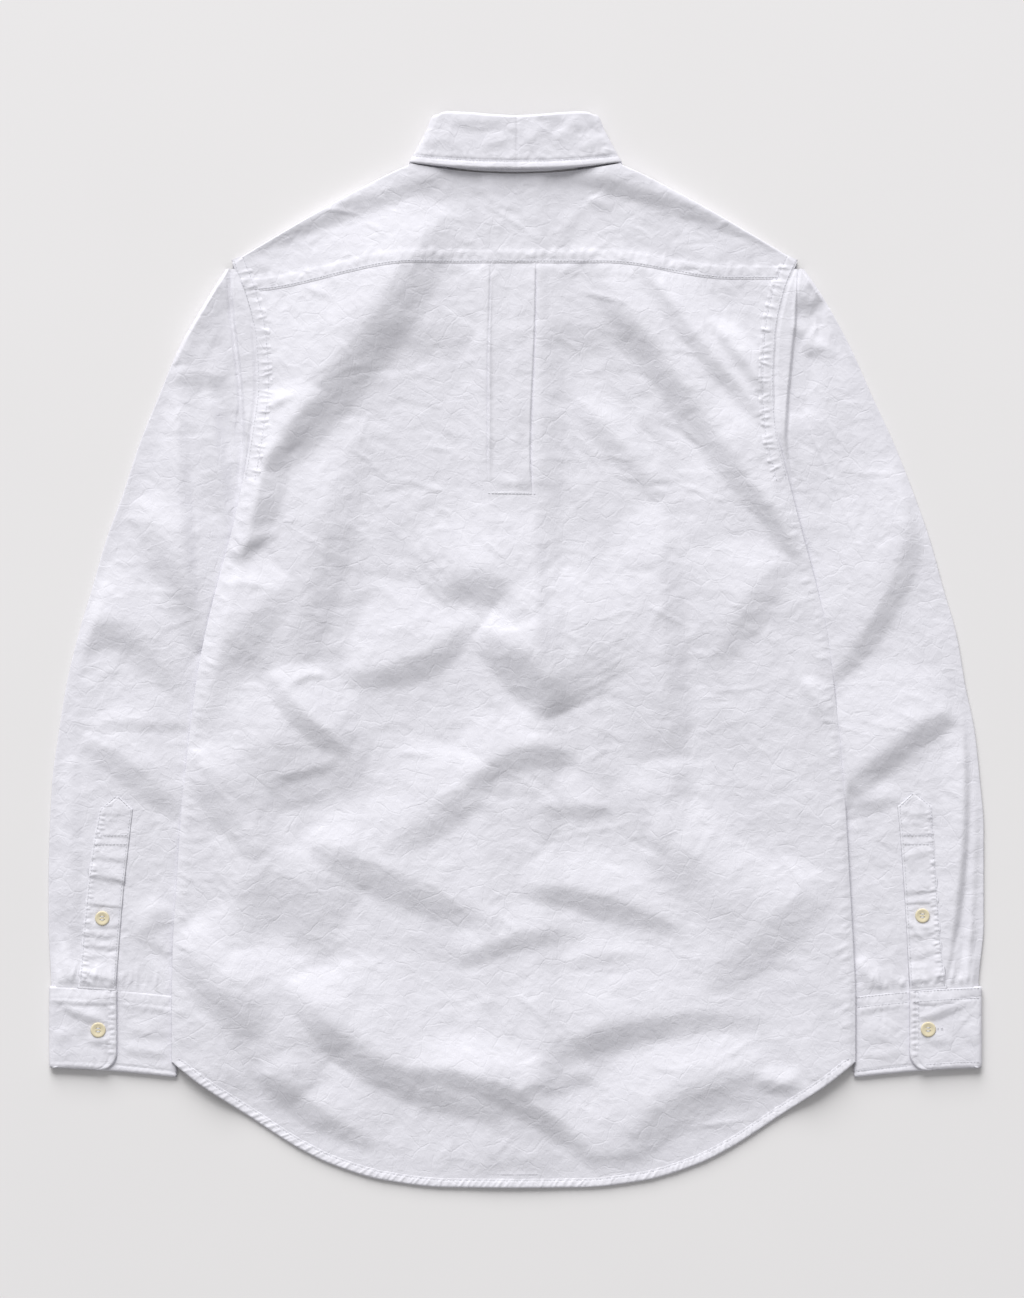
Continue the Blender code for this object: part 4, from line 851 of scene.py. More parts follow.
class Relief:
    """A height map over a rectangle of the plan, to which folds and creases are added."""

    def __init__(self, x_range, y_range, step=1):
        self.step = step
        self.low = (x_range[0], y_range[0])
        columns = np.arange(x_range[0], x_range[1] + step, step)
        rows = np.arange(y_range[0], y_range[1] + step, step)
        self.x, self.y = np.meshgrid(columns, rows)
        self.height = np.zeros(self.x.shape)

    def window(self, points, margin):
        """The map's rows and columns within margin of the points."""
        low = (points.min(axis=0) - margin - self.low) / self.step
        high = (points.max(axis=0) + margin - self.low) / self.step
        rows, columns = self.x.shape
        across = slice(int(np.clip(low[0], 0, columns)), int(np.clip(high[0] + 1, 0, columns)))
        along = slice(int(np.clip(low[1], 0, rows)), int(np.clip(high[1] + 1, 0, rows)))
        return along, across

    def add_fold(self, fold):
        """Add one fold: a ridge, or a furrow where its height is below 0."""
        x0, y0, x1, y1, x2, y2, height, shade, lit, crisp = fold
        length = math.hypot(x1 - x0, y1 - y0) + math.hypot(x2 - x1, y2 - y1)
        share = np.linspace(0, 1, int(np.clip(length / 5, 4, 30)) + 1)
        parts = (1 - share) * (1 - 2 * share), 4 * share * (1 - share), share * (2 * share - 1)
        path = np.column_stack([
            parts[0] * start + parts[1] * middle + parts[2] * end
            for start, middle, end in ((x0, x1, x2), (y0, y1, y2))])
        area = self.window(path, shade + lit + 2)
        x, y = self.x[area], self.y[area]
        if x.size == 0:
            return
        best = np.full(x.shape, np.inf)
        across, beyond, along = np.zeros(x.shape), np.zeros(x.shape), np.zeros(x.shape)
        for index in range(len(path) - 1):
            run = path[index + 1] - path[index]
            size = np.hypot(*run)
            run = run / size
            off_x, off_y = x - path[index][0], y - path[index][1]
            at = off_x * run[0] + off_y * run[1]
            held = np.clip(at, 0, size)
            side = off_y * run[0] - off_x * run[1]
            over = at - held
            gap = side ** 2 + over ** 2
            nearer = gap < best
            best = np.where(nearer, gap, best)
            across = np.where(nearer, side, across)
            beyond = np.where(nearer, np.abs(over), beyond)
            along = np.where(nearer, share[index] + held / size * share[1], along)
        whole = path[-1] - path[0]
        turn = 1 if LIGHT_PLAN[1] * whole[0] - LIGHT_PLAN[0] * whole[1] > 0 else -1
        taper = 1 - np.abs(2 * np.clip(along, 0, 1) - 1) ** 2.5
        narrow = 0.45 + 0.55 * taper
        from_foot = turn * across / narrow + 0.5 * shade
        profile = ridge_profile(from_foot / shade, (shade + lit - from_foot) / lit, 0.06 + 0.5 * (1 - crisp))
        self.height[area] += height * taper * profile * bell(beyond, shade)

    def add_folds(self, folds):
        """Add every fold of a table."""
        for fold in folds:
            self.add_fold(fold)

    def add_creases(self, rng, count, length, height, width):
        """Scatter small creases."""
        rows, columns = self.x.shape
        for _ in range(count):
            x = self.low[0] + rng.uniform(0, columns * self.step)
            y = self.low[1] + rng.uniform(0, rows * self.step)
            angle = rng.uniform(0, math.pi)
            half = 0.5 * rng.uniform(*length)
            run_x, run_y = half * math.cos(angle), half * math.sin(angle)
            bow = rng.normal(0, 0.12)
            wide = rng.uniform(*width)
            size = rng.uniform(*height) * rng.choice((-1, 1))
            self.add_fold((
                x - run_x, y - run_y, x - bow * run_y, y + bow * run_x, x + run_x, y + run_y,
                size, wide, wide * rng.uniform(1, 2), CREASE_CRISP))

    def add_crumple(self, rng, cell, height):
        """Add noise with sharp crests and furrows, as in cloth that was crushed and let go."""
        shift_x = gradient_noise(rng, self.x, self.y, cell * 2) * cell * CRUMPLE_BEND
        shift_y = gradient_noise(rng, self.x, self.y, cell * 2) * cell * CRUMPLE_BEND
        crests = 0.5 - np.abs(gradient_noise(rng, self.x + shift_x, self.y + shift_y, cell))
        furrows = np.abs(gradient_noise(rng, self.x - shift_y, self.y + shift_x, cell * 1.3)) - 0.5
        self.height += height * (crests + 0.8 * furrows)

    def add_wear(self, rng, kind, folds=()):
        """Add one kind of cloth's seeded wear, with a table's folds after its swells."""
        swells, crumples, creases = WEAR[kind]
        for cell, height in swells:
            self.height += height * gradient_noise(rng, self.x, self.y, cell)
        self.add_folds(folds)
        for cell, height in crumples:
            self.add_crumple(rng, cell, height)
        for numbers in creases:
            self.add_creases(rng, *numbers)

    def add_puckers(self, rng, path, inward, kind):
        """Add short ridges across a seam, where its thread has drawn the cloth in.

        path is the seam's points, inward the side that the ridges lie on, and kind their row in PUCKERS.
        """
        spacing, height, reach = PUCKERS[kind]
        at = way_along(path)
        place = rng.uniform(0, spacing[1])
        while place < at[-1]:
            x, y = point_at(path, at, place)
            ahead_x, ahead_y = point_at(path, at, place + 2) - point_at(path, at, place - 2)
            angle = math.atan2(ahead_y, ahead_x) + inward * (math.pi / 2 + rng.normal(0, PUCKER_TURN))
            size = rng.uniform(*reach)
            run_x, run_y = size * math.cos(angle), size * math.sin(angle)
            wide = rng.uniform(1.3, 2.1)
            self.add_fold((
                x, y, x + 0.5 * run_x, y + 0.5 * run_y, x + run_x, y + run_y,
                rng.uniform(*height), wide, wide * 1.3, 0.2))
            place += rng.uniform(*spacing)

    def read(self, x, y):
        """Height at any points of the plan, between the map's own."""
        u = np.clip((x - self.low[0]) / self.step, 0, self.x.shape[1] - 1.001)
        v = np.clip((y - self.low[1]) / self.step, 0, self.x.shape[0] - 1.001)
        i, j = u.astype(int), v.astype(int)
        part_u, part_v = u - i, v - j
        near = self.height[j, i] * (1 - part_u) + self.height[j, i + 1] * part_u
        far = self.height[j + 1, i] * (1 - part_u) + self.height[j + 1, i + 1] * part_u
        return near * (1 - part_v) + far * part_v


def grid_faces(index, keep=None):
    """Four-cornered faces of a grid of point numbers, for all its cells or for those kept."""
    corners = np.stack((index[:-1, :-1], index[:-1, 1:], index[1:, 1:], index[1:, :-1]), axis=-1)
    return corners.reshape(-1, 4) if keep is None else corners[keep]


def make_mesh(name, points, faces, material):
    """An object from points in millimetres and faces, without the points that no face uses."""
    used, inverse = np.unique(faces, return_inverse=True)
    mesh = bpy.data.meshes.new(name)
    mesh.from_pydata((points[used] * MM).tolist(), [], inverse.reshape(faces.shape).tolist())
    mesh.materials.append(material)
    mesh.shade_smooth()
    mesh.validate()
    thing = bpy.data.objects.new(name, mesh)
    bpy.context.scene.collection.objects.link(thing)
    return thing


def make_sheet(name, grid, material, keep=None):
    """A single layer of cloth from a grid of points."""
    points = grid.reshape(-1, 3)
    index = np.arange(len(points)).reshape(grid.shape[:2])
    return make_mesh(name, points, grid_faces(index, keep), material)


def moved_out(grid, distance):
    """A grid of points, each moved along the grid's normal there."""
    along, across = np.gradient(grid, axis=0), np.gradient(grid, axis=1)
    normal = np.cross(across, along)
    normal = normal / np.maximum(np.linalg.norm(normal, axis=-1, keepdims=True), 1e-9)
    return grid + normal * distance[..., None]


def make_slab(name, grid, half, material):
    """Two layers sewn round their edges: a grid on the middle, and half its thickness at each point.

    half is 0 along the border, where the two layers meet.
    """
    points = np.concatenate([moved_out(grid, distance).reshape(-1, 3) for distance in (half, -half)])
    upper = np.arange(half.size).reshape(half.shape)
    lower = upper.copy()
    lower[1:-1, 1:-1] += half.size
    faces = np.concatenate((grid_faces(upper), grid_faces(lower)[:, ::-1]))
    return make_mesh(name, points, faces, material)


def seam_puckers(rng, length, spacing, height, slant):
    """Puckers along a seam, one row each: place, height, width and slant."""
    places = np.cumsum(rng.uniform(*spacing, int(length / spacing[0]) + 2))
    places = places[places < length]
    count = len(places)
    return np.column_stack((
        places, rng.uniform(*height, count), rng.uniform(0.8, 1.7, count), rng.normal(slant, 0.22, count)))


def pucker_height(puckers, along, inward):
    """Height of the puckers at points given by their way along the seam and their way in from it."""
    total = np.zeros(np.broadcast(along, inward).shape)
    for place, height, wide, slant in puckers:
        total += height * bell(along - place - slant * inward, wide)
    return total


def left_of(line):
    """Unit steps in plan to the left of a line, at each of its points."""
    ahead = np.gradient(line, axis=0)
    ahead /= np.linalg.norm(ahead, axis=1, keepdims=True)
    return np.column_stack((-ahead[:, 1], ahead[:, 0]))


def make_band(name, line, inward, section, surface, puckers, material):
    """A sewn band along a line of the plan. inward is 1 where the band lies to the line's left."""
    normal = left_of(line) * inward
    along = way_along(line)[:, None]
    way_in, rise, share = np.array(section).T
    x = line[:, :1] + normal[:, :1] * way_in
    y = line[:, 1:] + normal[:, 1:] * way_in
    ends = 0.8 * smooth_step(5, 0, np.minimum(along, along[-1] - along))
    z = surface(x, y) + rise - ends + share * pucker_height(puckers, along, way_in[None, :])
    return make_sheet(name, np.stack((x, y, z), axis=-1), material)


def even_line(points, step):
    """The same line with points at even steps."""
    points = np.asarray(points, float)
    at = way_along(points)
    return point_at(points, at, np.linspace(0, at[-1], int(at[-1] / step) + 1)).T


def inset_line(line, inward, distance, surface, rise):
    """Points that run at one distance beside a line of the plan, on a surface."""
    x, y = (line + left_of(line) * inward * distance).T
    return np.column_stack((x, y, surface(x, y) + rise))


def stitch_shape():
    """One stitch: a short thread along X that dips at both ends, as points and faces."""
    angle = np.arange(STITCH_SIDES) * 2 * math.pi / STITCH_SIDES
    points = [(x, math.cos(a) * size, z + math.sin(a) * size) for x, z, size in STITCH_RINGS for a in angle]
    index = np.arange(len(points)).reshape(len(STITCH_RINGS), STITCH_SIDES)
    return np.array(points), grid_faces(np.column_stack((index, index[:, :1])))


def make_stitches(name, lines, material, pitch=2.6, share=0.78, thread=0.17):
    """A mesh of stitches along lines of points in millimetres."""
    shape, shape_faces = stitch_shape()
    points, faces = [], []
    for line in lines:
        line = np.asarray(line, float)
        at = way_along(line)
        count = max(1, int(at[-1] / pitch))
        for place in (np.arange(count) + 0.5) * at[-1] / count:
            centre = point_at(line, at, place)
            ahead = point_at(line, at, place + 0.5 * pitch) - point_at(line, at, place - 0.5 * pitch)
            ahead /= max(np.linalg.norm(ahead), 1e-9)
            side = np.cross((0, 0, 1), ahead)
            side /= max(np.linalg.norm(side), 1e-9)
            axes = np.array((ahead, side, np.cross(ahead, side)))
            local = shape * (pitch * share, thread, thread)
            faces.append(shape_faces + len(points) * len(shape))
            points.append(centre + local @ axes)
    return make_mesh(name, np.concatenate(points), np.concatenate(faces), material)


def add_node(tree, kind, values=(), links=(), **settings):
    """A node with its settings, the values of some inputs, and what feeds others."""
    node = tree.nodes.new("ShaderNode" + kind)
    for key, value in settings.items():
        setattr(node, key, value)
    for key, value in dict(values).items():
        node.inputs[key].default_value = value
    for key, socket in dict(links).items():
        tree.links.new(socket, node.inputs[key])
    return node


def mottled(name, inputs, drift, dark, light, low=0, high=1):
    """A new material whose colour drifts between two tones, its shader, and its coordinates."""
    material = bpy.data.materials.new(name)
    material.use_nodes = True
    tree = material.node_tree
    shader = tree.nodes["Principled BSDF"]
    for key, value in inputs.items():
        shader.inputs[key].default_value = value
    place = add_node(tree, "TexCoord").outputs["Object"]
    noise = add_node(tree, "TexNoise", drift, {"Vector": place})
    ramp = add_node(tree, "ValToRGB", links={"Fac": noise.outputs["Fac"]})
    for stop, position, tone in zip(ramp.color_ramp.elements, (low, high), (dark, light)):
        stop.position = position
        stop.color = (*tone, 1)
    tree.links.new(ramp.outputs["Color"], shader.inputs["Base Color"])
    return material, shader, place


def oxford_cloth():
    """White oxford: a small basket weave, crushed into fine creases, with a faint change of tone."""
    material, shader, place = mottled("oxford_cloth", *LOOKS["oxford_cloth"])
    tree = material.node_tree

    def noise(values, vector=place, **settings):
        return add_node(tree, "TexNoise", values, {"Vector": vector}, **settings)

    # Coordinates that wander, so that creases aren't ruled.
    wander = noise(WANDER).outputs["Color"]
    centred = add_node(tree, "VectorMath", {1: (0.5, 0.5, 0.5)}, {0: wander}, operation="SUBTRACT")
    moved = add_node(
        tree, "VectorMath", {1: (WANDER_REACH, WANDER_REACH, 0)},
        {0: centred.outputs["Vector"], 2: place}, operation="MULTIPLY_ADD").outputs["Vector"]

    def creases(scale, width, seed):
        """Furrows along the borders of cells, of which noise lets only some show."""
        shifted = add_node(tree, "VectorMath", {1: (seed, 0.37 * seed, 0)}, {0: moved}).outputs["Vector"]
        cells = add_node(
            tree, "TexVoronoi", {"Scale": scale}, {"Vector": shifted},
            feature="DISTANCE_TO_EDGE", voronoi_dimensions="2D")
        line = add_node(
            tree, "MapRange", {"From Max": width}, {"Value": cells.outputs["Distance"]},
            interpolation_type="SMOOTHSTEP")
        chosen = noise({"Scale": scale * 0.9, "Detail": 1}, shifted)
        share = add_node(tree, "MapRange", CREASES_SHOWN, {"Value": chosen.outputs["Fac"]})
        return add_node(
            tree, "Math", (), {0: line.outputs["Result"], 1: share.outputs["Result"]},
            operation="MULTIPLY").outputs["Value"]

    def crumple(scale, detail, seed, stretch):
        """Sharp crests that branch, as in cloth that was crushed and let go."""
        placed = add_node(
            tree, "Mapping",
            {"Location": (seed, 0.61 * seed, 0), "Rotation": (0, 0, 0.35 * seed), "Scale": (1, stretch, 1)},
            {"Vector": moved}).outputs["Vector"]
        values = {"Scale": scale, "Detail": detail, "Roughness": 0.55, "Offset": 1, "Gain": 1.6}
        return noise(values, placed, noise_type="RIDGED_MULTIFRACTAL", normalize=False).outputs["Fac"]

    def weave():
        """Threads along X and Y, one over the other."""
        threads = [
            add_node(tree, "TexWave", WEAVE, {"Vector": place}, bands_direction=way).outputs["Fac"]
            for way in ("X", "Y")]
        return add_node(tree, "Math", (), dict(enumerate(threads)), operation="MULTIPLY").outputs["Value"]

    layers = [(crumple(*numbers), *bump) for numbers, bump in CRUMPLE_BUMPS]
    layers += [(creases(*numbers), *bump) for numbers, bump in CREASE_BUMPS]
    layers += [(noise(values).outputs["Fac"], *bump) for values, bump in NOISE_BUMPS]
    layers.append((weave(), *WEAVE_BUMP))
    normal = None
    for height, strength, distance in layers:
        layer = add_node(tree, "Bump", {"Strength": strength, "Distance": distance}, {"Height": height})
        if normal is not None:
            tree.links.new(normal, layer.inputs["Normal"])
        normal = layer.outputs["Normal"]
    tree.links.new(normal, shader.inputs["Normal"])
    return material


def body_relief(rng):
    """Folds and creases of the back and the yoke, which share one map."""
    relief = Relief((-272, 270), (-424, 384))
    relief.add_wear(rng, "body", BACK_FOLDS)
    relief.add_folds(BACK_CREASES)
    x, y = relief.x, relief.y
    inside = edge_distance(x, y)
    relief.height *= 0.25 + 0.75 * smooth_step(1, 16, inside)
    relief.height *= 0.3 + 0.7 * smooth_step(4, 26, y - hem_y(x))

    # The swell inside the right armhole, and those along the pleat's right and left edges.
    relief.height += 1.5 * bell(inside, 24) * (x > 0) * between(160, 200, 280, 300, y)
    relief.height += 1.8 * between(12, 20, 20, 48, x) * between(124, 150, 296, 306, y)
    below_shoulder = shoulder_y(x) - y + 40 * smooth_step(110, 90, np.abs(x))
    relief.height *= 0.88 + 0.12 * smooth_step(0, 4, below_shoulder)
    relief.height += 1.5 * between(-52, -23, -20.5, -18, x) * between(124, 160, 290, 306, y)

    # The neck, which the collar holds up, highest at its two sides.
    relief.height += 0.8 * smooth_step(80, 58, np.abs(x)) * smooth_step(350, 371, y)
    for at_x, at_y, rise in NECK_BUMPS:
        relief.height += rise * np.exp(-(((x - at_x) / NECK_BUMP) ** 2 + ((y - at_y) / NECK_BUMP) ** 2))

    across = np.linspace(-212, 210, 300)
    seam = yoke_seam_y(across)
    relief.add_puckers(rng, np.column_stack((across, seam + YOKE_BAND)), 1, "yoke")
    above = y - yoke_seam_y(x)
    relief.height += 0.3 * smooth_step(10.8, 9.4, above) * smooth_step(0, 3, above)
    relief.add_puckers(rng, np.column_stack((across, seam)), -1, "under_yoke")
    for side in (LEFT, RIGHT):
        sign = SIGN[side]
        rise = np.linspace(UNDERARM_Y - 6, YOKE_SEAM_END_Y, 120)
        armhole = np.column_stack((sign * (EDGE[side](rise) - ARMHOLE_BAND), rise))
        relief.add_puckers(rng, armhole, sign, "armhole")
        fall = np.linspace(HEM_CORNER_Y + 8, UNDERARM_Y - 8, 300)
        relief.add_puckers(rng, np.column_stack((sign * (EDGE[side](fall) - 2), fall)), sign, "side")
    across = np.linspace(-266, 263, 500)
    relief.add_puckers(rng, np.column_stack((across, hem_y(across) + HEM_BAND)), 1, "tail")
    return relief


def sleeve_relief(rng, side):
    """Folds and creases of a sleeve's upper side."""
    sign = SIGN[side]
    relief = Relief((-368, -160) if side == LEFT else (160, 368), (-276, 306))
    relief.add_wear(rng, "sleeve", LEFT_SLEEVE_FOLDS if side == LEFT else RIGHT_SLEEVE_FOLDS)
    outer = OUTER[side](relief.y) - sign * relief.x
    relief.height *= smooth_step(0, np.where(relief.y > 222, 3, 12), outer)
    if side == RIGHT:
        at_x, at_y, depth, wide, long = RIGHT_SLEEVE_DENT
        relief.height -= depth * np.exp(-((relief.x - at_x) / wide) ** 2 - ((relief.y - at_y) / long) ** 2)
    wrist = np.linspace(CUFF_INNER + 3, CUFF_OUTER - 3, 80)
    gathers = np.column_stack((sign * wrist, np.full(80, CUFF_TOP_Y + 0.5)))
    relief.add_puckers(rng, gathers, sign, "wrist")
    return relief


def sleeve_base(x, y, side):
    """Middle of the wall of a sleeve's upper layer, without its folds."""
    far = SIGN[side] * x
    outer, edge = OUTER[side](y), EDGE[side](y)
    puff = 1.5 * smooth_step(0, 34, outer - far) * smooth_step(4, 40, far - edge)
    puff = puff * smooth_step(SHOULDER_POINT[1], 240, y)
    near = smooth_step(26, 0, far - edge) * smooth_step(UNDERARM_Y - 26, UNDERARM_Y + 44, y)
    reach, dip = HEAD_REACH(y), HEAD_DIP[side](y)
    past = far - edge - reach
    ridge = HEAD_RIDGE[side] * smooth_step(2, -2, past) * np.clip(reach / 8, 0, 1)
    hollow = dip * smooth_step(-1.5, 2.5, past) * smooth_step(30, 6, past)
    wide = 1.7 + 1.8 * bell(y - 168, 16) if side == LEFT else 1.7
    furrow = (1.35 * HEAD_FURROW(y) if side == LEFT else 0.6) * bell(past - 1, wide)
    furrow = furrow * np.clip((reach - 1) / 4, 0, 1)
    height = SLEEVE_TOP_LAYER + puff + near * tuck_lift(SIGN[side] * edge, y) + ridge - hollow - furrow
    return np.maximum(height, FLOOR_LAYER + 0.9)


def sleeve_height(x, y, side, relief):
    """The sleeve's upper layer with its folds, which fade under the body and at the placket."""
    far = SIGN[side] * x
    past = far - EDGE[side](y)
    low = smooth_step(UNDERARM_Y, UNDERARM_Y - 40, y)
    clear = smooth_step(-0.5 - 6 * low, 4 - 6 * low, past - 0.7 * HEAD_REACH(y))
    base = sleeve_base(x, y, side)
    end = CUFF_OVERLAP_END[side]
    sewn = CUFF_UNDER_Z + (CUFF_OVER_Z - CUFF_UNDER_Z) * smooth_step(end - 0.5, end + 1.2, far) + 0.75
    sewn = np.minimum(sewn, 2.8 + 0.8 * np.maximum(OUTER[side](y) - far, 0))
    base = base + (sewn - base) * smooth_step(CUFF_TOP_Y + 34, CUFF_TOP_Y + 0.5, y)
    folds = relief.read(x, y) * clear * smooth_step(CUFF_TOP_Y + 0.3, CUFF_TOP_Y + 6, y)
    return np.maximum(np.minimum(base + folds, 45.4 - 40 * low + 0.7 * past), FLOOR_LAYER + 0.9)


def body_columns(left, right, y):
    """X of the back's columns on one row, close together at the pleat's edges, without the rolls."""
    pleat_left, pleat_right = PLEAT_EDGE[LEFT](y), PLEAT_EDGE[RIGHT](y)
    wing_left = np.linspace(left + SIDE_ROLL, pleat_left - BESIDE_PLEAT[0], WING_CELLS + 1)[:-1]
    wing_right = np.linspace(pleat_right + BESIDE_PLEAT[0], right - SIDE_ROLL, WING_CELLS + 1)[1:]
    inside = np.linspace(pleat_left + 2.6, pleat_right - 2.6, 15)
    return np.concatenate((
        wing_left, pleat_left - BESIDE_PLEAT, [pleat_left + 0.5, pleat_left + 1.3], inside,
        [pleat_right - 1.3, pleat_right - 0.5], pleat_right + BESIDE_PLEAT[::-1], wing_right))


def pleat_height(x, y):
    """The box pleat: a raised band whose pressed edges stand over a narrow furrow."""
    left, right = PLEAT_EDGE[LEFT](y), PLEAT_EDGE[RIGHT](y)
    edge = np.interp(np.maximum(left - x, x - right), *PLEAT_SECTION)
    fade = smooth_step(PLEAT_END_Y - 2, PLEAT_END_Y + np.where(x < 0, 40, 16), y)
    fade = fade * (0.25 * smooth_step(324, 304, y) + 0.75 * smooth_step(304, 286, y))
    raised = PLEAT_RAISE * (1 - 0.65 * smooth_step(4, -4, x - 0.5 * (left + right)) * (edge > 0))
    return raised * edge * fade


def back_surface(x, y, relief):
    """Height of the back and of the yoke's upper side. The tail sinks past the fronts' hems."""
    height = back_base(x, y) + relief.read(x, y) + pleat_height(x, y)
    within = np.clip(edge_distance(x, y) / 7, 0, 1)
    round_side = 1 - np.sqrt(1 - 0.96 * (1 - within) ** 2)
    height = height - 2.6 * round_side * smooth_step(UNDERARM_Y + 14, UNDERARM_Y - 14, y)
    sinking = smooth_step(26, HEM_BAND, y - hem_y(x)) * smooth_step(236, 200, np.abs(x))
    return height - TAIL_SINK * sinking * np.maximum(height - TAIL_EDGE_Z, 0)


def add_back(relief, material):
    """The back panel, from under the yoke to the tail's hem, with its sides rolled under."""
    top = YOKE_SEAM_END_Y + YOKE_OVERLAP
    roll = math.pi * np.linspace(0, 1, 6)[1:]
    rows = []
    for share in np.linspace(0, 1, BACK_ROWS):
        y_left = top + share * (HEM_CORNER_Y - top)
        y_right = y_left + (YOKE_SEAM_RIGHT_Y - YOKE_SEAM_END_Y) * (1 - share)
        half = {LEFT: EDGE[LEFT](y_left), RIGHT: EDGE[RIGHT](y_right)}
        centre_y = (YOKE_SEAM_CENTRE_Y + YOKE_OVERLAP) * (1 - share) + HEM_TAIL_Y * share
        x = body_columns(-half[LEFT], half[RIGHT], centre_y)

        def stretched(left_y, right_y):
            """The row's columns, brought to the body's width at other places of its two edges."""
            left, right = EDGE[LEFT](left_y) / half[LEFT], EDGE[RIGHT](right_y) / half[RIGHT]
            return np.where(x < 0, x * left, x * right)

        seam = yoke_seam_y(stretched(YOKE_SEAM_END_Y, YOKE_SEAM_RIGHT_Y)) + YOKE_OVERLAP
        tail = hem_y(stretched(HEM_CORNER_Y, HEM_CORNER_Y)) + 0.8
        y = seam * (1 - share) + tail * share
        z = back_surface(x, y, relief) - 0.9 * smooth_step(0.8, 3.6, y - yoke_seam_y(x))
        depth = 2 if y_left < UNDERARM_Y else 1.2
        ends = []
        for side, end in ((LEFT, 0), (RIGHT, -1)):
            edge_x = SIGN[side] * half[side]
            under_x = edge_x - SIGN[side] * np.append(SIDE_ROLL * (1 - np.sin(roll)), SIDE_RETURN)
            under_z = z[end] - depth * np.append(0.5 * (1 - np.cos(roll)), 1)
            ends.append([(at_x, y[end], at_z) for at_x, at_z in zip(under_x, under_z)])
        rows.append(ends[0][::-1] + list(zip(x, y, z)) + ends[1])
    return make_sheet("back_cloth", np.array(rows), material)


def add_seam_bands(rng, relief, cloth, thread):
    """The bands sewn along the yoke seam, the armholes and the tail, with their stitches."""
    pieces, stitches = [], []

    def surface(x, y):
        return back_surface(x, y, relief)

    def sew(points, step, inward, rows, name=None, section=None, drawn=None):
        """Rows of stitches (distance, rise) beside a line, on a band if it has a name."""
        line = even_line(points, step)
        if name:
            puckers = seam_puckers(rng, step * len(line), *drawn) if drawn else ()
            pieces.append(make_band(name, line, inward, section, surface, puckers, cloth))
        stitches.extend(inset_line(line, inward, distance, surface, rise) for distance, rise in rows)

    for side in (LEFT, RIGHT):
        rise = np.linspace(UNDERARM_Y - 12, 304, 200)
        armhole = np.column_stack((SIGN[side] * (EDGE[side](rise) - 0.3), rise))
        name = "armhole_band_" + SIDE_NAME[side]
        rows = ((ARMHOLE_STITCH, 0.55), (ARMHOLE_EDGE_STITCH, 0.8))
        sew(armhole, 0.7, SIGN[side], rows, name, ARMHOLE_SECTION, ARMHOLE_PUCKERS)
    around = np.linspace(-266.5, 263.5, 700)
    tail = np.column_stack((around, hem_y(around)))
    sew(tail, 0.8, 1, ((HEM_STITCH, 0.3),), "tail_hem", TAIL_SECTION, TAIL_PUCKERS)
    across = np.linspace(-209, 207, 400)
    sew(np.column_stack((across, yoke_seam_y(across) + 0.15)), 0.8, 1, ((YOKE_STITCH, 0.55),))
    tuck = [(-22, PLEAT_END_Y - 1), (16, PLEAT_END_Y - 1.4)]
    sew(tuck, 1, 1, ((1.2, 0.25),), "pleat_tuck", TUCK_SECTION)
    pieces.append(make_stitches("back_stitches", stitches, thread))
    return pieces


def add_yoke(relief, material):
    """The yoke: folded under at its seam, over the back's neck and shoulders, and round to the front."""
    neck = np.linspace(0, NECK_SIDE[0], 52)
    shoulder = np.linspace(NECK_SIDE[0], SHOULDER_POINT[0], 90)
    right = np.concatenate((neck, shoulder[1:]))
    spread = np.concatenate((-right[::-1], right[1:]))
    at_neck = np.abs(spread) <= NECK_SIDE[0]
    top_line = np.where(at_neck, back_neck_y(spread), shoulder_y(spread) - SHOULDER_ROLL)

    def drawn_in(share):
        """X of the columns at a share of the way from the seam to the top."""
        y_left = YOKE_SEAM_END_Y * (1 - share) + top_line[0] * share
        y_right = YOKE_SEAM_RIGHT_Y * (1 - share) + top_line[-1] * share
        scale = np.where(spread < 0, EDGE[LEFT](y_left), EDGE[RIGHT](y_right)) / SHOULDER_POINT[0]
        return spread * (1 + (scale - 1) * (np.abs(spread) / SHOULDER_POINT[0]) ** 2)

    rows = []
    x = drawn_in(0)
    for inset, drop in YOKE_FOLD:
        y = yoke_seam_y(x) + inset
        rows.append(list(zip(x, y, back_surface(x, y, relief) + YOKE_RISE + 0.05 - drop)))
    for share in np.linspace(0, 1, 56)[1:]:
        x = drawn_in(share)
        y = (yoke_seam_y(x) + 0.2) * (1 - share) + top_line * share
        rows.append(list(zip(x, y, back_surface(x, y, relief) + YOKE_RISE)))
    upper_rows = len(rows) - 1
    upper = back_surface(spread, shoulder_y(spread) - SHOULDER_ROLL, relief) + YOKE_RISE
    roll = math.pi * np.linspace(0, 1, 10)[1:]
    around = [(SHOULDER_ROLL * (1 - math.sin(a)), 0.5 * (1 - math.cos(a))) for a in roll]
    for inset, share in around + [(YOKE_FORWARD, 1)]:
        x = drawn_in(1)
        y = shoulder_y(x) - inset
        rows.append(list(zip(x, y, upper * (1 - share) + front_height(x, y) * share)))
    grid = np.array(rows)
    keep = np.ones((grid.shape[0] - 1, grid.shape[1] - 1), bool)
    keep[upper_rows:, np.minimum(np.abs(spread[:-1]), np.abs(spread[1:])) < NECK_SIDE[0] - 0.01] = False
    return make_sheet("yoke_cloth", grid, material, keep)


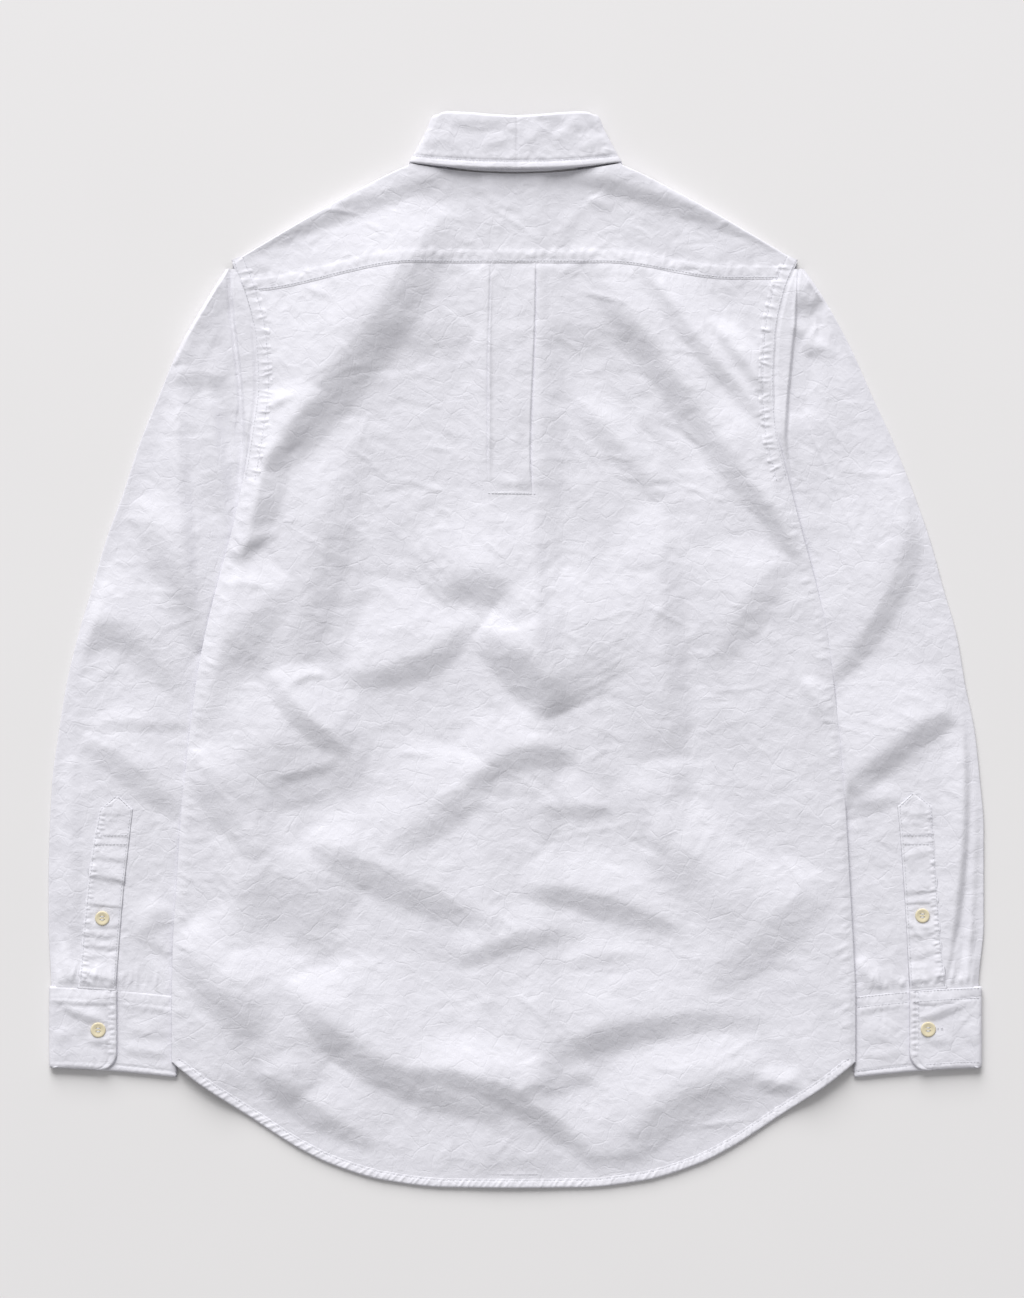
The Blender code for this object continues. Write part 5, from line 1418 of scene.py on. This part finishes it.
def add_front(rng, side, material):
    """One front, flat underneath, with creases that rise from the floor."""
    sign = SIGN[side]
    relief = Relief((-272, 270), (-424, 384), 2)
    relief.add_wear(rng, "front")
    relief.height = np.maximum(relief.height, 0) * smooth_step(0, 24, edge_distance(relief.x, relief.y))
    top_end = shoulder_y(EDGE[side](YOKE_SEAM_END_Y)) - YOKE_FORWARD
    bottom_end = HEM_CORNER_Y + FRONT_HEM_SHORTER
    centre_edge = PLACKET_LEFT - 0.4 if side == LEFT else UNDERLAP_LEFT
    rows = []
    for share in np.linspace(0, 1, 200):
        y_side = top_end * (1 - share) + bottom_end * share
        inset = smooth_step(UNDERARM_Y + 4, UNDERARM_Y - 4, y_side) * (SIDE_RETURN - 0.5)
        width = EDGE[side](y_side) - inset
        x = np.linspace(sign * width, centre_edge, 72)
        top_x = x / width * EDGE[side](top_end)
        at_shoulder = np.abs(top_x) > FRONT_NECK_HALF - 1
        start = np.where(at_shoulder, shoulder_y(top_x) - YOKE_FORWARD, front_neck_y(top_x))
        bottom = hem_y(x / width * EDGE[side](HEM_CORNER_Y)) + FRONT_HEM_SHORTER
        y = start * (1 - share) + bottom * share
        z = front_height(x, y) + relief.read(x, y)
        if side == RIGHT:
            z = z + smooth_step(PLACKET_RIGHT + 8, PLACKET_RIGHT + 2, x) * UNDERLAP_RISE
        rows.append(list(zip(x, y, z)))
    return make_sheet("front_" + SIDE_NAME[side] + "_cloth", np.array(rows), material)


def add_front_placket(material):
    """The button placket down the centre front, on the underside."""
    rows = []
    for share in np.linspace(0, 1, 200):
        x = np.linspace(PLACKET_LEFT, PLACKET_RIGHT, 24)
        y = front_neck_y(x) * (1 - share) + (hem_y(x) + FRONT_HEM_SHORTER) * share
        rows.append(list(zip(x, y, front_height(np.zeros(24), y))))
    grid = np.array(rows)
    return make_slab("front_placket_cloth", grid, slab_half(grid, 0.55, ()), material)


def slab_half(grid, thick, grooves, rim=1.1, bare=None):
    """Half thickness of a slab: round at its border, thinner along rows of stitches.

    grooves are distances from the border in millimetres. bare, "row" or "column", names the first side
    of the grid that has none.
    """
    across, along = (
        np.cumsum(np.linalg.norm(np.diff(grid, axis=axis, prepend=grid.take([0], axis)), axis=-1), axis=axis)
        for axis in (1, 0))
    border = np.minimum.reduce((across, across[:, -1:] - across, along, along[-1:] - along))
    half = thick * np.sqrt(1 - (1 - np.clip(border / rim, 0, 1)) ** 2)
    if bare:
        first = across if bare == "row" else along
        border = np.minimum.reduce((first, across[:, -1:] - across, along[-1:] - along))
    for distance in grooves:
        half = half * (1 - 0.5 * bell(border - distance, GROOVE_WIDTH))
    half[[0, -1], :] = 0
    half[:, [0, -1]] = 0
    return half


def add_sleeve(side, relief, material):
    """One sleeve: a flattened tube, from the armhole to the cuff, open where it meets the body."""
    sign = SIGN[side]
    levels = np.concatenate((
        np.linspace(SLEEVE_TOP_Y, UNDERARM_Y, OPEN_ROWS + 1)[:-1],
        np.linspace(UNDERARM_Y, CUFF_TOP_Y - 2, 240)))
    even = np.linspace(0, 1, 92)
    fine = np.concatenate((np.linspace(0, 0.27, 36)[:-1], np.linspace(0.27, 1, 57)))
    turn = np.linspace(0, math.pi, TURN_CELLS + 1)[1:-1]
    rows = []

    def turned(edge_x, y, from_z, to_z):
        """The points of a rolled edge, from one layer to the other."""
        middle, half = 0.5 * (from_z + to_z), 0.5 * (from_z - to_z)
        return [(sign * x, y, middle + half * math.cos(a)) for x, a in zip(edge_x, turn)]

    for level in levels:
        outer, edge = float(OUTER[side](level)), float(EDGE[side](level))
        is_open = level > UNDERARM_Y
        inner = edge - 1.5 if is_open else min(float(INNER(level)), edge - 1.5)
        width = outer - inner
        roll = min(0.5, 0.2 * width)
        start = inner + (0 if is_open else roll)
        open_share = smooth_step(UNDERARM_Y - 70, UNDERARM_Y - 10, level)
        top = start + (outer - roll - start) * (even * (1 - open_share) + fine * open_share)
        bottom = np.linspace(outer - roll, start, 30)
        y_top, y_bottom = (level - sleeve_slant(level, (outer - x) / width) for x in (top, bottom))
        z_top = sleeve_height(sign * top, np.full(top.shape, level), side, relief)
        under = tuck_lift(np.array([sign * edge]), np.array([level]))[0]
        under = under * smooth_step(UNDERARM_Y - 26, UNDERARM_Y + 44, level)
        z_bottom = FLOOR_LAYER + under * smooth_step(26, 0, bottom - edge)
        z_bottom = np.maximum(np.minimum(z_bottom, np.interp(bottom, top, z_top) - 0.9), FLOOR_LAYER)
        at_seam = smooth_step(3, 0, top - edge) * smooth_step(UNDERARM_Y - 10, UNDERARM_Y + 20, level)
        z_top = z_top - 0.8 * at_seam
        row = list(zip(sign * top, y_top, z_top))
        row += turned(outer - roll + roll * np.sin(turn), y_top[-1], z_top[-1], z_bottom[0])
        row += list(zip(sign * bottom, y_bottom, z_bottom))
        if is_open:
            row += [row[-1]] * TURN_CELLS
        else:
            row += turned(inner + roll - roll * np.sin(turn), y_top[0], z_bottom[-1], z_top[0])
            row.append(row[0])
        rows.append(row)
    grid = np.array(rows)
    keep = np.ones((grid.shape[0] - 1, grid.shape[1] - 1), bool)
    keep[:OPEN_ROWS, -TURN_CELLS:] = False
    return make_sheet("sleeve_" + SIDE_NAME[side] + "_cloth", grid, material, keep)


# Once round the wrist in section, up to the overlap's end: distance from the centre line, z.
CUFF_PATH = (
    (CUFF_UNDERLAP_END, 3.4), (300, 3.4), (CUFF_INNER + 5, 3.4), (CUFF_INNER + 1.4, 3),
    (CUFF_INNER, 2.2), (CUFF_INNER + 1.4, 1.4), (CUFF_INNER + 5, 1), (300, 1), (CUFF_OUTER - 6, 1),
    (CUFF_OUTER - 1, 1.5), (CUFF_OUTER, 3.3), (CUFF_OUTER - 1, 5.1), (CUFF_OUTER - 4, 5.6),
    (344, 5.7), (336, CUFF_OVER_Z),
)


def cuff_grid(side):
    """The cuff's middle: rows from the sleeve to its free edge, columns once round the wrist."""
    path = np.array(CUFF_PATH + ((CUFF_OVERLAP_END[side], CUFF_OVER_Z),))
    keys = way_along(path)
    far_at, z_at = (curve_through(np.column_stack((keys, path)), column) for column in (1, 2))
    rows = []
    for share in np.linspace(0, 1, 62):
        corner = CUFF_CORNER * (1 - math.sqrt(max(0, 1 - max(0, (share - 0.76) / 0.24) ** 2)))
        at = np.linspace(0, keys[-1] - corner, 230)
        far, z = far_at(at), z_at(at)
        rows.append(list(zip(SIGN[side] * far, cuff_top_y(far) - share * CUFF_HEIGHT, z)))
    return np.array(rows)


def on_top(surface, line, rise):
    """A line of the plan, laid on the highest of the surface's points near each of its own."""
    flat = surface.reshape(-1, 3)
    z = np.full(len(line), np.nan)
    for index, place in enumerate(line):
        near = flat[(np.abs(flat[:, :2] - place) < 1.1).all(axis=1), 2]
        if len(near):
            z[index] = near.max()
    known = np.flatnonzero(~np.isnan(z))
    return np.column_stack((line, np.interp(np.arange(len(z)), known, z[known]) + rise))


def add_cuff(side, rng, material, thread):
    """One cuff: two layers, sewn round, wrapped so that its rounded end lies on top."""
    sign, end = SIGN[side], CUFF_OVERLAP_END[side]
    grid = cuff_grid(side)
    half = slab_half(grid, 0.95, (5,), rim=0.8, bare="row")
    relief = Relief((-368, -258) if side == LEFT else (258, 368), (-340, -258), 0.5)
    relief.add_wear(rng, "cuff", LEFT_CUFF_FOLDS if side == LEFT else RIGHT_CUFF_FOLDS)
    across = np.linspace(CUFF_INNER, CUFF_OUTER, 80)
    rows = {"cuff_top": 1, "cuff_row": CUFF_ROW + 0.6, "cuff_edge": CUFF_HEIGHT - CUFF_EDGE_ROW}
    for kind, distance in rows.items():
        line = np.column_stack((sign * across, cuff_top_y(across) - distance))
        relief.add_puckers(rng, line, -sign, kind)
    down = np.linspace(-266, -316, 60)
    column = np.column_stack((np.full(60, sign * (end + CUFF_END_ROW)), down))
    relief.add_puckers(rng, column, -sign, "cuff_end")
    relief.add_puckers(rng, column, sign, "beside_cuff_end")
    far = sign * relief.x
    from_top = cuff_top_y(far) - relief.y
    at_end = bell(far - end - CUFF_END_ROW, GROOVE_WIDTH) * (relief.y < CUFF_TOP_Y - CUFF_ROW)
    at_edge = bell(from_top - CUFF_HEIGHT + CUFF_EDGE_ROW, GROOVE_WIDTH)
    relief.height -= 0.25 * bell(from_top - CUFF_ROW, GROOVE_WIDTH) + 0.35 * at_end + 0.15 * at_edge
    x, y, z = np.moveaxis(grid, -1, 0)
    upper_side = smooth_step(4.4, 5.2, z) + (z > 3.2) * (z < 4) * (sign * x < end)
    raised = grid.copy()
    raised[..., 2] += relief.read(x, y) * smooth_step(0, 0.9, half) * upper_side
    surface = moved_out(raised, half)
    lines = []
    for low, high in ((end + 1.5, CUFF_OUTER - 1), (CUFF_INNER + 1, end - 1.5)):
        across = np.linspace(low, high, 60)
        for distance in (1.4, CUFF_ROW, CUFF_HEIGHT - CUFF_EDGE_ROW):
            in_corner = distance > CUFF_ROW and low > end
            points = np.column_stack((sign * across, cuff_top_y(across) - distance))
            lines.append(on_top(surface, points[across > low + (10 if in_corner else 0)], 0.1))
    lines.append(on_top(surface, column[:52], 0.1))
    across = sign * np.linspace(end + 20.5, end + 26.5, 12)
    for hole_y in (CUFF_HOLE_Y - 0.5, CUFF_HOLE_Y + 0.5):
        lines.append(on_top(surface, np.column_stack((across, np.full(12, hole_y))), 0.12))
    stitches = make_stitches("cuff_stitches_" + SIDE_NAME[side], lines, thread)
    return make_slab("cuff_" + SIDE_NAME[side] + "_cloth", raised, half, material), stitches


def placket_relief(rng, side, edges):
    """Ridges across a sleeve placket, and the puckers along its sewn edge."""
    relief = Relief((-348, -290) if side == LEFT else (290, 344), (-268, -106), 0.5)
    relief.add_wear(rng, "sleeve_placket", LEFT_PLACKET_RIDGES if side == LEFT else RIGHT_PLACKET_RIDGES)
    y = np.linspace(-260, -122, 120)
    sewn = np.column_stack((edges(y)[0 if side == LEFT else 1] - SIGN[side] * 1.6, y))
    relief.add_puckers(rng, sewn, SIGN[side], "sleeve_placket")
    return relief


def add_sleeve_placket(side, relief, rng, material, thread):
    """The pointed placket on the sleeve's upper layer, free along its inner edge."""
    table = np.array(LEFT_SLEEVE_PLACKET if side == LEFT else RIGHT_SLEEVE_PLACKET)

    def edges(y):
        """X of the left and the right edge."""
        return [np.interp(y, table[:, 0], table[:, column]) for column in (1, 2)]

    def slanted(x, y):
        """Y of points whose rows slant down towards the inner edge."""
        return y - sleeve_slant(y, (OUTER[side](y) - SIGN[side] * x) / CUFF_WIDTH)

    ridges = placket_relief(rng, side, edges)
    levels = np.linspace(table[0, 0], table[-1, 0], 250)
    left, right = edges(levels)
    rows = []
    for level, x0, x1 in zip(levels, left, right):
        x, y = np.linspace(x0, x1, 30), np.full(30, level)
        from_sewn = np.abs(x - (x0 if side == LEFT else x1))
        lift = 0.45 * smooth_step(0, 4, from_sewn)
        lift = lift + 0.2 * smooth_step(-136, -156, level) * smooth_step(12, 26, from_sewn) - 0.4
        lift = lift * smooth_step(CUFF_TOP_Y - 1, CUFF_TOP_Y + 7, level)
        free = smooth_step(CUFF_TOP_Y, CUFF_TOP_Y + 5, level)
        z = sleeve_height(x, y, side, relief) + lift + free * ridges.read(x, y)
        rows.append(list(zip(x, slanted(x, y), z)))
    grid = np.array(rows)
    half = slab_half(grid, 0.5, (1.9,))
    surface = moved_out(grid, half)
    lines = []
    for share in (0.07, 0.93):
        x = left * (1 - share) + right * share
        lines.append(on_top(surface, np.column_stack((x, slanted(x, levels)))[4:], 0.08))
    for bar_y in PLACKET_BARS:
        x0, x1 = edges(bar_y)
        bar = np.column_stack((np.linspace(x0 + 2, x1 - 2, 20), np.full(20, bar_y)))
        lines.append(on_top(surface, bar, 0.08))
    stitches = make_stitches("sleeve_placket_stitches_" + SIDE_NAME[side], lines, thread)
    return make_slab("sleeve_placket_" + SIDE_NAME[side] + "_cloth", grid, half, material), stitches


def collar_rows(steps):
    """The collar's rows, smooth through the table, from the left front end round to the right one."""
    table = np.column_stack((np.arange(len(COLLAR)), COLLAR))
    at = np.linspace(0, len(COLLAR) - 1, steps)
    right = np.column_stack([curve_through(table, column)(at) for column in range(1, table.shape[1])])
    mirror = right.copy()
    mirror[:, (0, 3, 6)] *= -1
    return np.concatenate((mirror[:0:-1], right))


def add_collar_stand(material):
    """The band between the neck seam and the collar's fold."""
    row = collar_rows(150)
    share = np.linspace(0, 1, 22)[:, None]
    grid = row[:, None, 0:3] * (1 - share) + row[:, None, 3:6] * share
    return make_slab("collar_stand_cloth", grid, slab_half(grid, 0.9, (2,)), material)


def leaf_edge_y(x):
    """The leaf's free edge in plan."""
    return np.interp(np.abs(x), *LEAF_EDGE)


def add_collar_fall(rng, material, thread):
    """The collar leaf: it turns over the stand's top edge and comes down outside it."""
    rows = []
    for row in collar_rows(190):
        seam, fold, leaf, turned = row[0:3], row[3:6], row[6:9], math.radians(row[9])
        up = (fold - seam) / np.linalg.norm(fold - seam)
        flat = np.array([up[1], -up[0], 0]) * (1 if seam[0] > 0 else -1)
        off = np.array([0, 0, math.cos(turned)]) + flat * math.sin(turned)
        room = FALL_ROOM + SIDE_ROOM * math.sin(turned) ** 2
        start = fold + up * FOLD_START + off * 0.2 * room
        crest = fold + up * FOLD_OVER + off * 0.62 * room
        turn = fold + up * FOLD_START + off * room
        knots = np.array([start, crest, turn] + [turn * (1 - s) + leaf * s for s in (0.3, 0.65, 1)])
        keys = way_along(knots)
        at = keys[-1] * np.linspace(0, 1, 60) ** 1.5
        table = np.column_stack((keys, knots))
        rows.append(np.column_stack([curve_through(table, column)(at) for column in (1, 2, 3)]))
    grid = np.array(rows)
    half = slab_half(grid, 0.95, (6,), bare="column")
    half = half * (0.4 + 0.6 * smooth_step(1, 3, at)[None, :])
    relief = Relief((-92, 92), (372, 424), 0.5)
    relief.add_wear(rng, "collar", COLLAR_FOLDS)
    across = np.linspace(-74, 74, 100)
    relief.add_puckers(rng, np.column_stack((across, leaf_edge_y(across) + 6)), 1, "collar")
    inward = relief.y - leaf_edge_y(relief.x)
    relief.height += np.clip(1 - inward / 6.6, 0, 1)
    relief.height -= 0.35 * bell(inward - 6.8, 1)
    relief.height += 0.3 * smooth_step(405, 415, relief.y)

    # The leaf is joined at the centre back, where its left half lies a little higher.
    relief.height += 0.4 * smooth_step(1, 0, relief.x) * smooth_step(-26, -4, relief.x)
    relief.height -= 0.8 * bell(relief.x - 0.9, 0.8)
    x, y, z = np.moveaxis(grid, -1, 0)
    raised = grid.copy()
    raised[..., 2] += relief.read(x, y) * smooth_step(6.5, 9, z) * (y > 370) * smooth_step(0, 0.9, half)
    around = np.linspace(-78, 78, 120)
    line = np.column_stack((around, leaf_edge_y(around) + LEAF_STITCH))
    stitches = make_stitches("collar_stitches", [on_top(moved_out(raised, half), line, 0.1)], thread)
    return make_slab("collar_fall_cloth", raised, half, material), stitches


def add_button(name, material, thread, detail, cloth=None):
    """A four-hole button in the place of its solid, sunk into the cloth below it, if that is given."""
    low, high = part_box(name)
    centre = np.array([(low[k] + high[k]) / 2 for k in range(3)]) / MM
    radius = (high[0] - low[0]) / 2 / MM
    base, thick = low[2] / MM, (high[2] - low[2]) / MM
    if cloth is not None:
        points = np.array([point.co for point in cloth.data.vertices]) / MM
        near = np.hypot(points[:, 0] - centre[0], points[:, 1] - centre[1]) < 4
        base, thick = points[near, 2].max() - BUTTON_SUNK, BUTTON_SHARE * thick
    outs = np.linspace(0, 1, detail // 2) ** 0.9
    out_grid, angle = np.meshgrid(outs, np.linspace(0, 2 * math.pi, detail + 1))
    x, y = out_grid * np.cos(angle) * radius, out_grid * np.sin(angle) * radius
    top = np.interp(out_grid, outs, np.interp(outs, *BUTTON_SECTION)) * thick
    for hole_x in (-HOLE_PLACE, HOLE_PLACE):
        for hole_y in (-HOLE_PLACE, HOLE_PLACE):
            top = top - HOLE_DEPTH * np.exp(-(np.hypot(x - hole_x, y - hole_y) / HOLE_RADIUS) ** 4)
    grid = np.stack((centre[0] + x, centre[1] + y, base + top), axis=-1)
    rim = grid[:, -1:, :].copy()
    rim[..., :2] = centre[:2] + (rim[..., :2] - centre[:2]) * 0.86
    rim[..., 2] = base + 0.05
    closing = rim.copy()
    closing[..., :2] = centre[:2]
    button = make_sheet(name + "_turned", np.concatenate((grid, rim, closing), axis=1), material)
    height = base + 0.66 * thick + 0.1
    lines = [
        [(centre[0] + x, centre[1] + row * HOLE_PLACE + step, height) for x in (-HOLE_PLACE, HOLE_PLACE)]
        for step in (-0.3, 0, 0.3) for row in (-1, 1)]
    threads = make_stitches(name + "_thread", lines, thread, pitch=2.6 * HOLE_PLACE, share=1, thread=0.16)
    return button, threads


def add_floor(material):
    """The surface that the shirt lies on."""
    corners = [(x * FLOOR_HALF, y * FLOOR_HALF, -0.05) for x, y in ((-1, -1), (1, -1), (1, 1), (-1, 1))]
    make_mesh("studio_floor", np.array(corners), np.array([[0, 1, 2, 3]]), material)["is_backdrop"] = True


def add_light():
    """A large soft light beyond the collar, and an even pale surrounding."""
    world = bpy.data.worlds.new("studio")
    world.use_nodes = True
    background = world.node_tree.nodes["Background"]
    background.inputs["Color"].default_value = (1, 1, 1, 1)
    background.inputs["Strength"].default_value = BACKGROUND_STRENGTH
    bpy.context.scene.world = world
    lamp = bpy.data.lights.new("soft_window", "AREA")
    lamp.shape = "SQUARE"
    lamp.size = LAMP_SIZE
    lamp.energy = LAMP_POWER
    light = bpy.data.objects.new("soft_window", lamp)
    light.location = LAMP_PLACE
    light.rotation_euler = light.location.to_track_quat("Z", "Y").to_euler()
    bpy.context.scene.collection.objects.link(light)


def add_camera():
    """Straight above, from far off, so that the shirt is seen flat."""
    camera = bpy.data.cameras.new("camera")
    camera.sensor_width = 36
    camera.lens = LENS
    camera.clip_end = 100
    eye = bpy.data.objects.new("camera", camera)
    offset = [(middle - centre) * PHOTO_SCALE * MM for middle, centre in zip(PICTURE_MIDDLE, SHIRT_CENTRE)]
    eye.location = (offset[0], -offset[1], CAMERA_HEIGHT)
    bpy.context.scene.collection.objects.link(eye)
    bpy.context.scene.camera = eye


def build_scene():
    """Dress the frame."""
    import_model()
    bpy.context.scene.view_settings.view_transform = "Standard"
    rng = np.random.default_rng(SEED)
    cloth = oxford_cloth()
    thread, plastic, pale = (mottled(name, *LOOKS[name])[0] for name in PLAIN_LOOKS)
    add_camera()
    add_light()
    add_floor(pale)
    relief = body_relief(rng)
    dressed = {"back": add_back(relief, cloth), "yoke": add_yoke(relief, cloth)}
    sewing = {"back": add_seam_bands(rng, relief, cloth, thread)}

    def keep(node, made):
        """Note the piece that stands for a node, and the sewing on it."""
        dressed[node], stitches = made
        sewing[node] = [stitches]

    for side in (LEFT, RIGHT):
        label = SIDE_NAME[side]
        sleeve_map = sleeve_relief(rng, side)
        dressed["front_" + label] = add_front(rng, side, cloth)
        dressed["sleeve_" + label] = add_sleeve(side, sleeve_map, cloth)
        keep("cuff_" + label, add_cuff(side, rng, cloth, thread))
        keep("sleeve_placket_" + label, add_sleeve_placket(side, sleeve_map, rng, cloth, thread))
    dressed["front_placket"] = add_front_placket(cloth)
    dressed["collar_stand"] = add_collar_stand(cloth)
    keep("collar_fall", add_collar_fall(rng, cloth, thread))
    for pieces in sewing.values():
        for piece in pieces:
            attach(piece, "root")
    for node, piece in dressed.items():
        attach(piece, "root")
        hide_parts(node)
        below = [dressed[name].name for name in RESTS_ON.get(node, ())]
    for name, below in BUTTONS.items():
        button, threads = add_button(name, plastic, thread, 64 if below else 32, dressed.get(below))
        for piece in (button, threads):
            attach(piece, "root")
        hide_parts(name)
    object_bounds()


build_scene()
